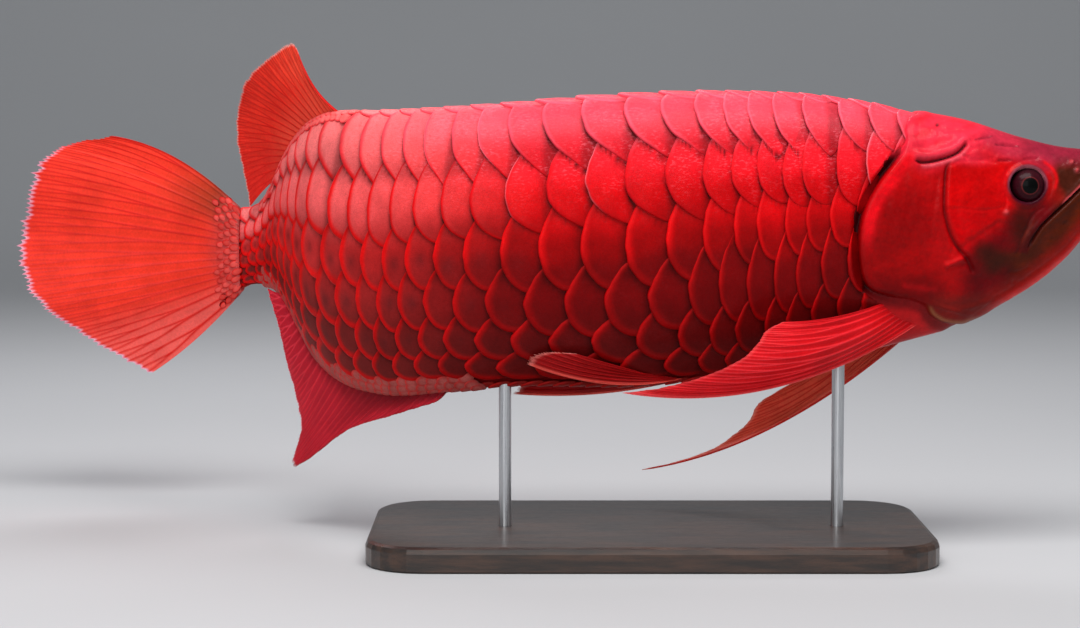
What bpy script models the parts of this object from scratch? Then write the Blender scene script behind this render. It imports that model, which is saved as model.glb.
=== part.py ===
# Asian arowana (dragon fish), a still, life-size model held on a plain stand.
#
# Frame: +X is the way the head points, +Z is up, and the fish's right side faces -Y.
# The origin is the centre of the stand base's underside, which is z = 0.
#
# All lengths of the fish are in outline units of UNIT metres. The outlines are given as
# the side view shows them, (u, v) with u towards the head and v downwards, and seen()
# turns a point of that view at a stated depth y into its place in space.

import math

import bmesh
import bpy
import numpy as np
from mathutils import Vector

# ---------------------------------------------------------------- driving sizes
UNIT = 0.00048            # metres in one outline unit
VIEW_DISTANCE = 2500.0    # distance from which the side view is seen, units
VIEW_RISE = math.radians(5.0)   # how far above level the side view is taken
VIEW_U, VIEW_V = 540.0, 314.0   # the middle of the side view
FLOOR_V = 553.0           # where z = 0 lies in the side view at depth 0
ORIGIN_U = 650.0          # the stand's centre along the fish
ORIGIN_Y = 18.0           # and across it, towards the side the tail swings to

SNOUT_U = 1114.0          # tip of the snout
BODY_LENGTH = 1040.0      # snout tip to the root of the tail fin, along the bent spine
GAP = 0.0003 / UNIT       # the cut between two neighbouring nodes, 0.3 mm

TRUNK_CUT = 448.0         # trunk_front | trunk_rear
TAIL_CUT = 690.0          # trunk_rear | tail_front
STEM_CUT = 856.0          # tail_front | tail_rear

RING_POINTS = 28          # points round one body section
EYE_U, EYE_V, EYE_R = 1027.3, 185.8, 19.0
EYE_BULGE = 8.0           # how far the eyeball stands out of the head's side
EYE_SIDE = 42.0           # the depth at which the near eye is seen
SOCKET_GAP = 0.0003 / UNIT

ROOT_THICK, EDGE_THICK = 3.0, 1.25      # fins, units
BARBEL_LENGTH, BARBEL_ROOT, BARBEL_TIP = 78.0, 2.3, 0.9   # length and radii, units

ROD_RADIUS = 0.003 / UNIT
ROD_FRONT_U, ROD_REAR_T = 842.0, 606.0
ROD_SINK = 26.0           # how far a rod stands into the belly
BASE_LENGTH, BASE_WIDTH, BASE_HEIGHT = 0.270, 0.140, 0.012   # metres
BASE_CORNER, BASE_BEVEL = 0.028, 0.003
BASE_SOCKET = 0.007       # depth of a rod's socket in the base

# Heading of the spine in plan, degrees away from the viewer, by length from the snout.
BEND = ((0, 0), (560, 0), (655, 14), (720, 30), (793, 48), (837, 58), (879, 62),
        (915, 64), (947, 63), (978, 57), (1010, 45), (1040, 31), (1100, 16), (1300, 4))
# Crest of the back and keel of the belly in the side view.
BACK = ((205, 207), (245, 206), (262, 200), (275, 181), (286, 156), (300, 133),
        (316, 118), (335, 111), (400, 108.5), (500, 102), (600, 93.5), (700, 89.5),
        (780, 91), (850, 98), (905, 108.5), (960, 118.5), (1020, 137), (1060, 146.5),
        (1090, 150), (1106, 153), (1114, 161))
BELLY = ((205, 297), (235, 294), (255, 287), (272, 289), (287, 304), (302, 332),
         (318, 361), (338, 380), (362, 391), (400, 396.5), (450, 393), (540, 389),
         (620, 390), (700, 384), (760, 378), (810, 367), (860, 353.5), (911, 340),
         (956, 327), (1003, 303), (1043, 277), (1080, 240), (1100, 205), (1110, 180),
         (1114, 163))
# Half width of the body, by length from the snout.
HALF_WIDTH = ((0, 3), (4, 12), (14, 21), (34, 30), (64, 38), (90, 43.5), (114, 48.5),
              (164, 57), (214, 63), (264, 66), (364, 67), (464, 64), (564, 59),
              (655, 51), (720, 44.5), (793, 36), (837, 30), (879, 24.5), (915, 20),
              (947, 16.5), (978, 13.5), (1010, 10.5), (1040, 7))
# Section shape by length: height of the widest level (0 keel, 1 crest), and the
# fullness of the part above it and of the part below it (2 is an ellipse).
WIDEST = ((0, 0.5), (60, 0.52), (160, 0.56), (300, 0.60), (500, 0.60), (800, 0.54), (1040, 0.5))
FULL_ABOVE = ((0, 2.2), (60, 2.7), (160, 3.0), (260, 2.6), (500, 2.35), (800, 2.1), (1040, 2.0))
FULL_BELOW = ((0, 2.2), (60, 2.1), (160, 1.85), (300, 1.75), (500, 1.75), (800, 1.8), (1040, 2.0))

# Rear edge of the gill cover and of the head, from the nape down to the throat.
GILL_EDGE = ((903, 60), (904, 128), (905, 149), (893, 165), (880, 182), (867, 204),
             (860.5, 229), (859.5, 255), (863, 280), (876, 294), (903, 302),
             (925, 314), (936, 334), (940, 380))
# Front edge of the gill cover, from the slit above it round to the throat.
COVER_FRONT = ((906, 161), (930, 157), (946, 166), (946, 190), (947, 211), (951, 234),
               (961, 252), (962, 275), (950, 297), (930, 304))
# The mouth's cleft from the lip down to the corner, then behind the lower jaw.
JAW_LINE = ((1140, 148), (1113, 158), (1096, 170), (1078, 187), (1062, 203),
            (1047, 218), (1036, 232), (1028, 249), (1008, 268), (992, 292), (984, 345))
COVER_INSIDE = 26.0       # the gill covers' inner face, from the middle plane
CHEEK, JAW_SIDE = 58.0, 34.0   # how far the cheek and the jaw's side are from that plane

# Fins: the tips of the rays from the first to the last, (u, v, y) in the side view.
DORSAL_BASE = (792.0, 955.0)   # lengths along the back
DORSAL_TIPS = ((298, 52, 126), (291, 43, 134), (272, 55, 162), (249, 76, 194),
               (238, 104, 218), (236.5, 138, 236), (243, 170, 246), (250, 207, 250))
ANAL_BASE = (662.0, 940.0)     # lengths along the belly
ANAL_TIPS = ((430, 403, 14), (390, 416, 36), (345, 431, 76), (306, 461, 118),
             (292, 464, 136), (301, 428, 138), (295, 393, 154), (286, 362, 174),
             (280, 332, 194), (269, 298, 218))
CAUDAL_TIPS = ((112, 136, 312), (68, 144, 314), (40, 160, 314), (29, 192, 313),
               (21, 228, 312), (19, 268, 310), (34, 298, 310), (62, 322, 310),
               (100, 347, 308), (150, 374, 304))
PECTORAL_NEAR_TIPS = ((623, 393, -84), (660, 388, -88), (702, 377, -91),
                      (740, 360, -92), (758, 343, -90), (766, 331, -86), (782, 322, -82))
PECTORAL_FAR_TIPS = ((641, 470, 132), (676, 462, 136), (716, 447, 136),
                     (746, 424, 132), (758, 404, 124), (778, 391, 114), (808, 374, 100))
PELVIC_NEAR_TIPS = ((527, 364, -34), (532, 357, -37), (547, 352, -40), (574, 353, -42))
PELVIC_FAR_TIPS = ((515, 394, 34), (519, 387, 38), (536, 381, 40), (565, 376, 42))

SKIN = (0.42, 0.035, 0.025)
COVER = (0.45, 0.02, 0.015)
FIN = (0.62, 0.10, 0.04)
EYE = (0.03, 0.008, 0.008)
STEEL = (0.55, 0.55, 0.56)
BASE = (0.05, 0.048, 0.046)


# ---------------------------------------------------------------- curves
def curve(table, x):
    """A smooth line through a table of (x, value, ...) rows, without overshoot."""
    rows = np.array(table, float)
    knots, values = rows[:, 0], rows[:, 1]
    steps = np.diff(knots)
    slopes = np.diff(values) / steps
    tangents = np.empty_like(values)
    tangents[0], tangents[-1] = slopes[0], slopes[-1]
    for i in range(1, len(knots) - 1):
        a, b = slopes[i - 1], slopes[i]
        if a * b <= 0:
            tangents[i] = 0.0
        else:
            h0, h1 = steps[i - 1], steps[i]
            w0, w1 = 2 * h1 + h0, h1 + 2 * h0
            tangents[i] = (w0 + w1) / (w0 / a + w1 / b)
    i = int(np.clip(np.searchsorted(knots, x) - 1, 0, len(knots) - 2))
    h = steps[i]
    s = min(max((x - knots[i]) / h, 0.0), 1.0)
    return float(
        values[i] * (1 + 2 * s) * (1 - s) ** 2
        + tangents[i] * h * s * (1 - s) ** 2
        + values[i + 1] * s * s * (3 - 2 * s)
        + tangents[i + 1] * h * s * s * (s - 1)
    )


def along(points, q):
    """The point at 0..1 of a rounded line through the given points."""
    pts = np.array(points, float)
    last = len(pts) - 1
    x = min(max(q, 0.0), 1.0) * last
    i = min(int(x), last - 1)
    s = x - i
    p1, p2 = pts[i], pts[i + 1]
    p0 = pts[i - 1] if i > 0 else 2 * p1 - p2
    p3 = pts[i + 2] if i + 2 <= last else 2 * p2 - p1
    return 0.5 * (2 * p1 + (p2 - p0) * s + (2 * p0 - 5 * p1 + 4 * p2 - p3) * s * s
                  + (3 * p1 - p0 - 3 * p2 + p3) * s ** 3)


def seen(u, v, y):
    """The place, in units from the view's middle, of what the side view shows at (u, v) and depth y."""
    c, s = math.cos(VIEW_RISE), math.sin(VIEW_RISE)
    a, b = (u - VIEW_U) / VIEW_DISTANCE, (VIEW_V - v) / VIEW_DISTANCE
    rise = (b * (VIEW_DISTANCE + y * c) - y * s) / (c + b * s)
    depth = VIEW_DISTANCE + y * c - rise * s
    return np.array((a * depth + VIEW_U, y, rise + FLOOR_V - VIEW_V))


def seen_u(x, y, z):
    c, s = math.cos(VIEW_RISE), math.sin(VIEW_RISE)
    depth = VIEW_DISTANCE + y * c - (z - FLOOR_V + VIEW_V) * s
    return VIEW_U + (x - VIEW_U) * VIEW_DISTANCE / depth


# ---------------------------------------------------------------- the body's form
SPINE_STEP = 2.0
SPINE = []
x, y = seen(SNOUT_U, 156.0, 0.0)[0], 0.0
for k in range(int(1320 / SPINE_STEP)):
    heading = math.radians(curve(BEND, (k + 0.5) * SPINE_STEP))
    SPINE.append((x, y))
    x -= SPINE_STEP * math.cos(heading)
    y += SPINE_STEP * math.sin(heading)


def spine(t):
    i = min(max(t / SPINE_STEP, 0.0), len(SPINE) - 1.001)
    k = int(i)
    a, b = SPINE[k], SPINE[k + 1]
    return a[0] + (b[0] - a[0]) * (i - k), a[1] + (b[1] - a[1]) * (i - k)


def section(t):
    """Centre line place, heading, keel and crest heights and half width at length t."""
    x, y = spine(t)
    heading = math.radians(curve(BEND, t))
    z_mid = FLOOR_V - 240.0
    crest = keel = z_mid
    for _ in range(3):
        crest = seen(0, curve(BACK, seen_u(x, y, crest)), y)[2]
        keel = seen(0, curve(BELLY, seen_u(x, y, keel)), y)[2]
    return x, y, heading, keel, crest, curve(HALF_WIDTH, t)


def ring(t, grow=0.0):
    x, y, heading, keel, crest, width = section(t)
    keel, crest, width = keel - grow, crest + grow, width + grow
    level = keel + (crest - keel) * curve(WIDEST, t)
    above, below = 2 / curve(FULL_ABOVE, t), 2 / curve(FULL_BELOW, t)
    points = []
    for k in range(RING_POINTS):
        turn = 2 * math.pi * k / RING_POINTS
        side, up = math.sin(turn), math.cos(turn)
        power = above if up >= 0 else below
        across = width * math.copysign(abs(side) ** power, side)
        height = abs(up) ** power * (crest - level if up >= 0 else keel - level)
        # across > 0 is the left side of the fish
        points.append((x + across * math.sin(heading), y + across * math.cos(heading), level + height))
    return points


def place(point):
    """Units from the view's middle to metres from the origin."""
    return ((point[0] - ORIGIN_U) * UNIT, (point[1] - ORIGIN_Y) * UNIT, point[2] * UNIT)


# ---------------------------------------------------------------- making objects
def mesh_object(name, points, faces):
    mesh = bpy.data.meshes.new(name)
    mesh.from_pydata([place(p) for p in points], [], faces)
    bm = bmesh.new()
    bm.from_mesh(mesh)
    bmesh.ops.recalc_face_normals(bm, faces=bm.faces)
    if bm.calc_volume(signed=True) < 0:
        bmesh.ops.reverse_faces(bm, faces=bm.faces)
    bm.to_mesh(mesh)
    bm.free()
    made = bpy.data.objects.new(name, mesh)
    bpy.context.scene.collection.objects.link(made)
    return made


def loft(name, lengths, grow=0.0):
    """A closed body through the sections at these lengths."""
    points, faces = [], []
    for t in lengths:
        points += ring(t, grow)
    n = RING_POINTS
    for i in range(len(lengths) - 1):
        for k in range(n):
            a, b = i * n + k, i * n + (k + 1) % n
            faces.append((a, b, b + n, a + n))
    for i in (0, len(lengths) - 1):
        middle = len(points)
        points.append(tuple(np.mean(points[i * n:(i + 1) * n], axis=0)))
        faces += [(i * n + k, i * n + (k + 1) % n, middle) for k in range(n)]
    return mesh_object(name, points, faces)


def prism(name, outline, near, far, side):
    """A solid between two depths, whose outline is seen as given on a surface at depth side."""
    n = len(outline)
    points = []
    for y in (near, far):
        for u, v in outline:
            p = seen(u, v, side)
            points.append((p[0], y, p[2]))
    faces = [tuple(range(n)), tuple(range(2 * n - 1, n - 1, -1))]
    faces += [(k, (k + 1) % n, n + (k + 1) % n, n + k) for k in range(n)]
    return mesh_object(name, points, faces)


def widened(outline, by):
    """A closed outline moved outwards by a distance in units."""
    pts = [Vector(p) for p in outline]
    n = len(pts)
    area = sum(pts[i - 1].x * pts[i].y - pts[i].x * pts[i - 1].y for i in range(n))
    turn = 1 if area > 0 else -1
    moved = []
    for i in range(n):
        e0, e1 = (pts[i] - pts[i - 1]).normalized(), (pts[(i + 1) % n] - pts[i]).normalized()
        n0, n1 = Vector((e0.y, -e0.x)) * turn, Vector((e1.y, -e1.x)) * turn
        mean = (n0 + n1).normalized()
        moved.append(tuple(pts[i] + mean * (by / max(mean.dot(n0), 0.35))))
    return moved


def ball(name, centre, radius, stretch=(1, 1, 1), rings=10, sides=16):
    points = [(centre[0], centre[1], centre[2] + radius * stretch[2])]
    for i in range(1, rings):
        a = math.pi * i / rings
        for k in range(sides):
            b = 2 * math.pi * k / sides
            points.append((centre[0] + radius * stretch[0] * math.sin(a) * math.cos(b),
                           centre[1] + radius * stretch[1] * math.sin(a) * math.sin(b),
                           centre[2] + radius * stretch[2] * math.cos(a)))
    points.append((centre[0], centre[1], centre[2] - radius * stretch[2]))
    faces = [(0, 1 + k, 1 + (k + 1) % sides) for k in range(sides)]
    for i in range(rings - 2):
        for k in range(sides):
            a, b = 1 + i * sides + k, 1 + i * sides + (k + 1) % sides
            faces.append((a, a + sides, b + sides, b))
    last, low = len(points) - 1, 1 + (rings - 2) * sides
    faces += [(last, low + (k + 1) % sides, low + k) for k in range(sides)]
    return mesh_object(name, points, faces)


def tube(name, centres, radii, sides=10):
    """A round bar of changing radius along a line of points, with closed ends."""
    points, faces = [], []
    centres = [Vector(c) for c in centres]
    for i, c in enumerate(centres):
        way = (centres[min(i + 1, len(centres) - 1)] - centres[max(i - 1, 0)]).normalized()
        across = way.cross(Vector((0, 1, 0)) if abs(way.y) < 0.9 else Vector((1, 0, 0))).normalized()
        up = across.cross(way)
        for k in range(sides):
            a = 2 * math.pi * k / sides
            points.append(tuple(c + (across * math.cos(a) + up * math.sin(a)) * radii[i]))
    for i in range(len(centres) - 1):
        for k in range(sides):
            a, b = i * sides + k, i * sides + (k + 1) % sides
            faces.append((a, b, b + sides, a + sides))
    faces.append(tuple(range(sides)))
    faces.append(tuple(range((len(centres) - 1) * sides, len(centres) * sides)))
    return mesh_object(name, points, faces)


def cut(target, cutters, operation="DIFFERENCE", thin=False):
    """Cuts the target's mesh by each solid in turn, with exact arithmetic.

    A thin blade may cross itself at its root, which the cut then allows for."""
    for cutter in cutters:
        modifier = target.modifiers.new("cut", "BOOLEAN")
        modifier.operation = operation
        modifier.solver = "EXACT"
        modifier.use_self = thin
        modifier.object = cutter
        bpy.context.view_layer.update()
        graph = bpy.context.evaluated_depsgraph_get()
        result = bpy.data.meshes.new_from_object(target.evaluated_get(graph))
        target.modifiers.remove(modifier)
        old = target.data
        target.data = result
        bpy.data.meshes.remove(old)
    return target


def drop(*objects):
    for helper in objects:
        bpy.data.objects.remove(helper, do_unlink=True)


def twin(source, name):
    made = bpy.data.objects.new(name, source.data.copy())
    bpy.context.scene.collection.objects.link(made)
    return made


def largest_piece(target):
    """Keeps the biggest of the target's separate shells."""
    bm = bmesh.new()
    bm.from_mesh(target.data)
    bmesh.ops.remove_doubles(bm, verts=bm.verts, dist=2e-6)
    bm.faces.ensure_lookup_table()
    left, shells = set(range(len(bm.faces))), []
    while left:
        stack, shell = [left.pop()], set()
        while stack:
            k = stack.pop()
            shell.add(k)
            for e in bm.faces[k].edges:
                if len(e.link_faces) == 2:
                    for f in e.link_faces:
                        if f.index in left:
                            left.discard(f.index)
                            stack.append(f.index)
        shells.append(shell)
    if len(shells) > 1:
        shells.sort(key=lambda shell: (len(shell), min(shell)))
        rest = [bm.faces[k] for shell in shells[:-1] for k in shell]
        bmesh.ops.delete(bm, geom=rest, context="FACES")
        bmesh.ops.delete(bm, geom=[v for v in bm.verts if not v.link_faces], context="VERTS")
    bm.to_mesh(target.data)
    bm.free()
    return target


def sheet(name, roots, tips, rays, rows, bow, ripple=0.0, waves=3.0,
          root_thick=ROOT_THICK, edge_thick=EDGE_THICK):
    """A fin: a thin closed blade from a root line to the line of its ray tips.

    bow(q) gives the vector by which ray q stands out from its straight line half way."""
    grid = np.empty((rays + 1, rows + 1, 3))
    for i in range(rays + 1):
        q = i / rays
        root, tip, out = roots(q), tips(q), np.array(bow(q), float)
        for j in range(rows + 1):
            r = j / rows
            p = root + (tip - root) * r + out * 4 * r * (1 - r)
            p[1] += ripple * r ** 1.5 * math.sin(2 * math.pi * waves * q)
            grid[i, j] = p
    du = np.gradient(grid, axis=0)
    dv = np.gradient(grid, axis=1)
    normal = np.cross(du, dv)
    normal /= np.linalg.norm(normal, axis=2, keepdims=True) + 1e-9
    points, faces = [], []
    for sign in (0.5, -0.5):
        for i in range(rays + 1):
            for j in range(rows + 1):
                thick = root_thick + (edge_thick - root_thick) * (j / rows) ** 0.6
                points.append(tuple(grid[i, j] + normal[i, j] * thick * sign))
    w = rows + 1
    back = (rays + 1) * w
    for i in range(rays):
        for j in range(rows):
            a, b, c, d = i * w + j, i * w + j + 1, (i + 1) * w + j + 1, (i + 1) * w + j
            # both sides split along the same diagonal, so that a warped blade doesn't cross itself
            faces += [(a, b, c), (a, c, d), (back + a, back + c, back + b), (back + a, back + d, back + c)]
    rim = [i * w for i in range(rays + 1)]
    rim += [rays * w + j for j in range(1, rows + 1)]
    rim += [i * w + rows for i in range(rays - 1, -1, -1)]
    rim += [j for j in range(rows - 1, 0, -1)]
    for a, b in zip(rim, rim[1:] + rim[:1]):
        faces.append((a, b, back + b, back + a))
    return mesh_object(name, points, faces)


def spaced(start, end, count):
    return [start + (end - start) * k / count for k in range(count + 1)]


def finish(target, color, rough, metal=0.0):
    target.data.materials.clear()
    material = bpy.data.materials.new(target.name)
    material.use_nodes = True
    shader = material.node_tree.nodes["Principled BSDF"]
    shader.inputs["Base Color"].default_value = (*color, 1.0)
    shader.inputs["Roughness"].default_value = rough
    shader.inputs["Metallic"].default_value = metal
    target.data.materials.append(material)
    for face in target.data.polygons:
        face.use_smooth = True


# ================================================================ the object
for old in list(bpy.data.objects):
    bpy.data.objects.remove(old, do_unlink=True)

# ---------------------------------------------------------------- body, whole and in lengths
NOSE = [0.0, 2.0, 6.0, 12.0, 20.0, 30.0]
front_lengths = NOSE + spaced(42, TRUNK_CUT - GAP / 2, 20)
whole_lengths = NOSE + spaced(42, BODY_LENGTH, 52)
grown = loft("grown", whole_lengths, GAP)

front = loft("front", front_lengths)
trunk_rear = loft("trunk_rear", spaced(TRUNK_CUT + GAP / 2, TAIL_CUT - GAP / 2, 9))
tail_front = loft("tail_front", spaced(TAIL_CUT + GAP / 2, STEM_CUT - GAP / 2, 8))
tail_rear = loft("tail_rear", spaced(STEM_CUT + GAP / 2, BODY_LENGTH, 9))

# ---------------------------------------------------------------- head, gill covers and jaw
ahead = [(1160, 60)] + list(GILL_EDGE) + [(1160, 380)]
inner = prism("inner", widened(ahead, -GAP / 2), -140, 140, -CHEEK)
outer = prism("outer", widened(ahead, GAP / 2), -140, 140, -CHEEK)
head = cut(twin(front, "head"), [inner], "INTERSECT")
trunk_front = cut(front, [outer])
trunk_front.name = "trunk_front"
drop(inner, outer)

jaw_area = list(JAW_LINE) + [(1160, 345)]
inner = prism("inner", widened(jaw_area, -GAP / 2), -140, 140, -JAW_SIDE)
outer = prism("outer", widened(jaw_area, GAP / 2), -140, 140, -JAW_SIDE)
lower_jaw = largest_piece(cut(twin(head, "lower_jaw"), [inner], "INTERSECT"))
cut(head, [outer])
drop(inner, outer)

cover_area = list(GILL_EDGE[2:12]) + list(COVER_FRONT[::-1])
covers = []
for name, sign in (("gill_cover_right", -1), ("gill_cover_left", 1)):
    # The cover's own rear edge is the gill opening, which the head's outline gives.
    inside = prism("inside", widened(cover_area, -GAP / 2), sign * (COVER_INSIDE + GAP), sign * 140, -CHEEK)
    outside = prism("outside", widened(cover_area, GAP / 2), sign * COVER_INSIDE, sign * 140, -CHEEK)
    covers.append(largest_piece(cut(twin(head, name), [inside], "INTERSECT")))
    cut(head, [outside])
    drop(inside, outside)

# ---------------------------------------------------------------- eyes
eyes = []
eye_t = SNOUT_U - EYE_U
for name, sign in (("eye_right", -1), ("eye_left", 1)):
    middle = seen(EYE_U, EYE_V, -EYE_SIDE)
    side = max((p for p in ring(eye_t)), key=lambda p: sign * p[1] - 0.004 * (p[2] - middle[2]) ** 2)[1]
    centre = (middle[0], side - sign * (EYE_R - EYE_BULGE), middle[2])
    socket = ball("socket", centre, EYE_R + SOCKET_GAP)
    cut(head, [socket])
    drop(socket)
    eyes.append(ball(name, centre, EYE_R))
largest_piece(head)

# ---------------------------------------------------------------- barbels at the chin
barbels = []
for name, sign in (("barbel_right", -1), ("barbel_left", 1)):
    line, radii = [], []
    for k in range(11):
        f = k / 10
        line.append((1106 + 4 + BARBEL_LENGTH * f * (1 - 0.12 * f), sign * (9 + 16 * f * f),
                     FLOOR_V - 172 + 6 * math.sin(f * 2.6) - 16 * f * f))
        radii.append(BARBEL_ROOT + (BARBEL_TIP - BARBEL_ROOT) * f)
    barbel = tube(name, line, radii, 8)
    cut(barbel, [grown])
    barbels.append(largest_piece(barbel))

# ---------------------------------------------------------------- fins
SINK = 7.0


def ridge(t, crest):
    x, y, heading, keel, top, width = section(t)
    return np.array((x, y, top - SINK if crest else keel + SINK))


def tips_of(table):
    return lambda q: seen(*along(table, q))


def roots_between(first, last):
    a, b = seen(*first), seen(*last)
    return lambda q: a + (b - a) * q


dorsal_fin = sheet(
    "dorsal_fin",
    lambda q: ridge(DORSAL_BASE[0] + (DORSAL_BASE[1] - DORSAL_BASE[0]) * q, True),
    tips_of(DORSAL_TIPS), 13, 6, lambda q: (-6 * (1 - q) ** 4, -3 + 2 * q, 3 - 8 * (1 - q) ** 4), 2.0, 2.0)
anal_fin = sheet(
    "anal_fin",
    lambda q: ridge(ANAL_BASE[0] + (ANAL_BASE[1] - ANAL_BASE[0]) * q, False),
    tips_of(ANAL_TIPS), 17, 6, lambda q: (0, -3, -4 * (1 - q)), 2.0, 3.0)

tail_x, tail_y, tail_heading, tail_keel, tail_crest, _ = section(BODY_LENGTH)
caudal_fin = sheet(
    "caudal_fin",
    lambda q: np.array((tail_x + SINK * math.cos(tail_heading), tail_y - SINK * math.sin(tail_heading),
                        tail_crest - 3 + (tail_keel - tail_crest + 6) * q)),
    tips_of(CAUDAL_TIPS), 17, 8,
    lambda q: (0, 9, 15 * (1 - q) ** 2 - 7 * q * q), 4.0, 2.5)

pectoral_fin_right = sheet(
    "pectoral_fin_right", roots_between((912, 324, -40), (884, 302, -50)),
    tips_of(PECTORAL_NEAR_TIPS), 9, 9,
    lambda q: (0, -16 + 4 * q, -27 * (1 - q) - 4 * q), 0.0)
pectoral_fin_left = sheet(
    "pectoral_fin_left", roots_between((912, 327, 40), (884, 306, 50)),
    tips_of(PECTORAL_FAR_TIPS), 9, 9,
    lambda q: (0, 14 - 4 * q, -29 * (1 - q) - 5 * q), 0.0)
pelvic_fin_right = sheet(
    "pelvic_fin_right", roots_between((682, 379, -8), (656, 376, -15)),
    tips_of(PELVIC_NEAR_TIPS), 6, 7, lambda q: (0, -9, -11 * (1 - q)), 0.0)
pelvic_fin_left = sheet(
    "pelvic_fin_left", roots_between((682, 380, 8), (656, 377, 15)),
    tips_of(PELVIC_FAR_TIPS), 6, 7, lambda q: (0, 9, -8 * (1 - q)), 0.0)
fins = [dorsal_fin, anal_fin, caudal_fin, pectoral_fin_right, pectoral_fin_left,
        pelvic_fin_right, pelvic_fin_left]
for fin in fins:
    cut(fin, [grown], thin=True)
    largest_piece(fin)

# ---------------------------------------------------------------- stand
base_top = BASE_HEIGHT / UNIT
rods = []
for name, t, body in (("stand_rod_front", SNOUT_U - ROD_FRONT_U, trunk_front),
                      ("stand_rod_rear", ROD_REAR_T, trunk_rear)):
    x, y, heading, keel, crest, width = section(t)
    foot = base_top - BASE_SOCKET / UNIT
    hole = tube("hole", [(x, y, keel - 40), (x, y, keel + ROD_SINK + GAP)], [ROD_RADIUS + GAP] * 2, 24)
    cut(body, [hole])
    drop(hole)
    rods.append((tube(name, [(x, y, foot + GAP), (x, y, keel + ROD_SINK)], [ROD_RADIUS] * 2, 20), x, y, foot))

half_l, half_w = BASE_LENGTH / 2, BASE_WIDTH / 2


def base_outline(inset):
    r = BASE_CORNER - inset
    line = []
    for k in range(4):
        cx = (half_l - BASE_CORNER) * (1 if k in (0, 3) else -1)
        cy = (half_w - BASE_CORNER) * (1 if k in (0, 1) else -1)
        for j in range(7):
            a = math.pi / 2 * (k + j / 6)
            line.append((cx + r * math.cos(a), cy + r * math.sin(a)))
    return line


levels = ((0.0, BASE_BEVEL / 3), (BASE_BEVEL / 3, 0.0), (BASE_HEIGHT - BASE_BEVEL, 0.0),
          (BASE_HEIGHT - BASE_BEVEL * 0.3, BASE_BEVEL * 0.3), (BASE_HEIGHT, BASE_BEVEL))
points, faces = [], []
for z, inset in levels:
    points += [(px / UNIT + ORIGIN_U, py / UNIT + ORIGIN_Y, z / UNIT) for px, py in base_outline(inset)]
n = 28
for i in range(len(levels) - 1):
    for k in range(n):
        faces.append((i * n + k, i * n + (k + 1) % n, (i + 1) * n + (k + 1) % n, (i + 1) * n + k))
faces.append(tuple(range(n)))
faces.append(tuple(range((len(levels) - 1) * n, len(levels) * n)))
stand_base = mesh_object("stand_base", points, faces)
for rod, x, y, foot in rods:
    hole = tube("hole", [(x, y, foot), (x, y, base_top + 20)], [ROD_RADIUS + GAP] * 2, 24)
    cut(stand_base, [hole])
    drop(hole)

drop(grown)

# ---------------------------------------------------------------- finishes
for flesh in (head, lower_jaw, trunk_front, trunk_rear, tail_front, tail_rear):
    finish(flesh, SKIN, 0.35)
for cover in covers:
    finish(cover, COVER, 0.3)
for fin in fins:
    finish(fin, FIN, 0.4)
for barbel in barbels:
    finish(barbel, SKIN, 0.45)
for eye in eyes:
    finish(eye, EYE, 0.08)
for rod, *_ in rods:
    finish(rod, STEEL, 0.3, 1.0)
finish(stand_base, BASE, 0.4)
for face in stand_base.data.polygons:
    face.use_smooth = False
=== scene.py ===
import math

import bpy
import numpy as np
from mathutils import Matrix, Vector


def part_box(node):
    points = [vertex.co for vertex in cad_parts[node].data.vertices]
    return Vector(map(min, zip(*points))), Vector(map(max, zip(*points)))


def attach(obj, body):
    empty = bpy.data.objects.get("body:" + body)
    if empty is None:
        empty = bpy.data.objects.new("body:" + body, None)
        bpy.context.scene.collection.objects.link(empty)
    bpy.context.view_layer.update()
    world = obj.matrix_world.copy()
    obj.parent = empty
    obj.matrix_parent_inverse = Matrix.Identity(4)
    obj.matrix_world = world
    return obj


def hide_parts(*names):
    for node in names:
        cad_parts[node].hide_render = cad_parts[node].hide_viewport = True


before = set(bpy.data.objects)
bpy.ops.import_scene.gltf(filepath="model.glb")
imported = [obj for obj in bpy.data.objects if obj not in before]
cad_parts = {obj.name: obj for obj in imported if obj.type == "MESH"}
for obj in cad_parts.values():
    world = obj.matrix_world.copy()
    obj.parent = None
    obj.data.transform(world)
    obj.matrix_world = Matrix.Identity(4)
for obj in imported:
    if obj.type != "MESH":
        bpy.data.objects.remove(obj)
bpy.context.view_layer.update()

# ================================================================ sizes shared with the solids
UNIT = 0.00048
VIEW_DISTANCE = 2500.0
VIEW_RISE = math.radians(5.0)
VIEW_U, VIEW_V = 540.0, 314.0
FLOOR_V = 553.0
ORIGIN_U, ORIGIN_Y = 650.0, 18.0
SNOUT_U, BODY_LENGTH = 1114.0, 1040.0
BEND = ((0, 0), (560, 0), (655, 14), (720, 30), (793, 48), (837, 58), (879, 62),
        (915, 64), (947, 63), (978, 57), (1010, 45), (1040, 31), (1100, 16), (1300, 4))
BACK = ((205, 207), (245, 206), (262, 200), (275, 181), (286, 156), (300, 133),
        (316, 118), (335, 111), (400, 108.5), (500, 102), (600, 93.5), (700, 89.5),
        (780, 91), (850, 98), (905, 108.5), (960, 118.5), (1020, 137), (1060, 146.5),
        (1090, 150), (1106, 153), (1114, 161))
BELLY = ((205, 297), (235, 294), (255, 287), (272, 289), (287, 304), (302, 332),
         (318, 361), (338, 380), (362, 391), (400, 396.5), (450, 393), (540, 389),
         (620, 390), (700, 384), (760, 378), (810, 367), (860, 353.5), (911, 340),
         (956, 327), (1003, 303), (1043, 277), (1080, 240), (1100, 205), (1110, 180),
         (1114, 163))
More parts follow.
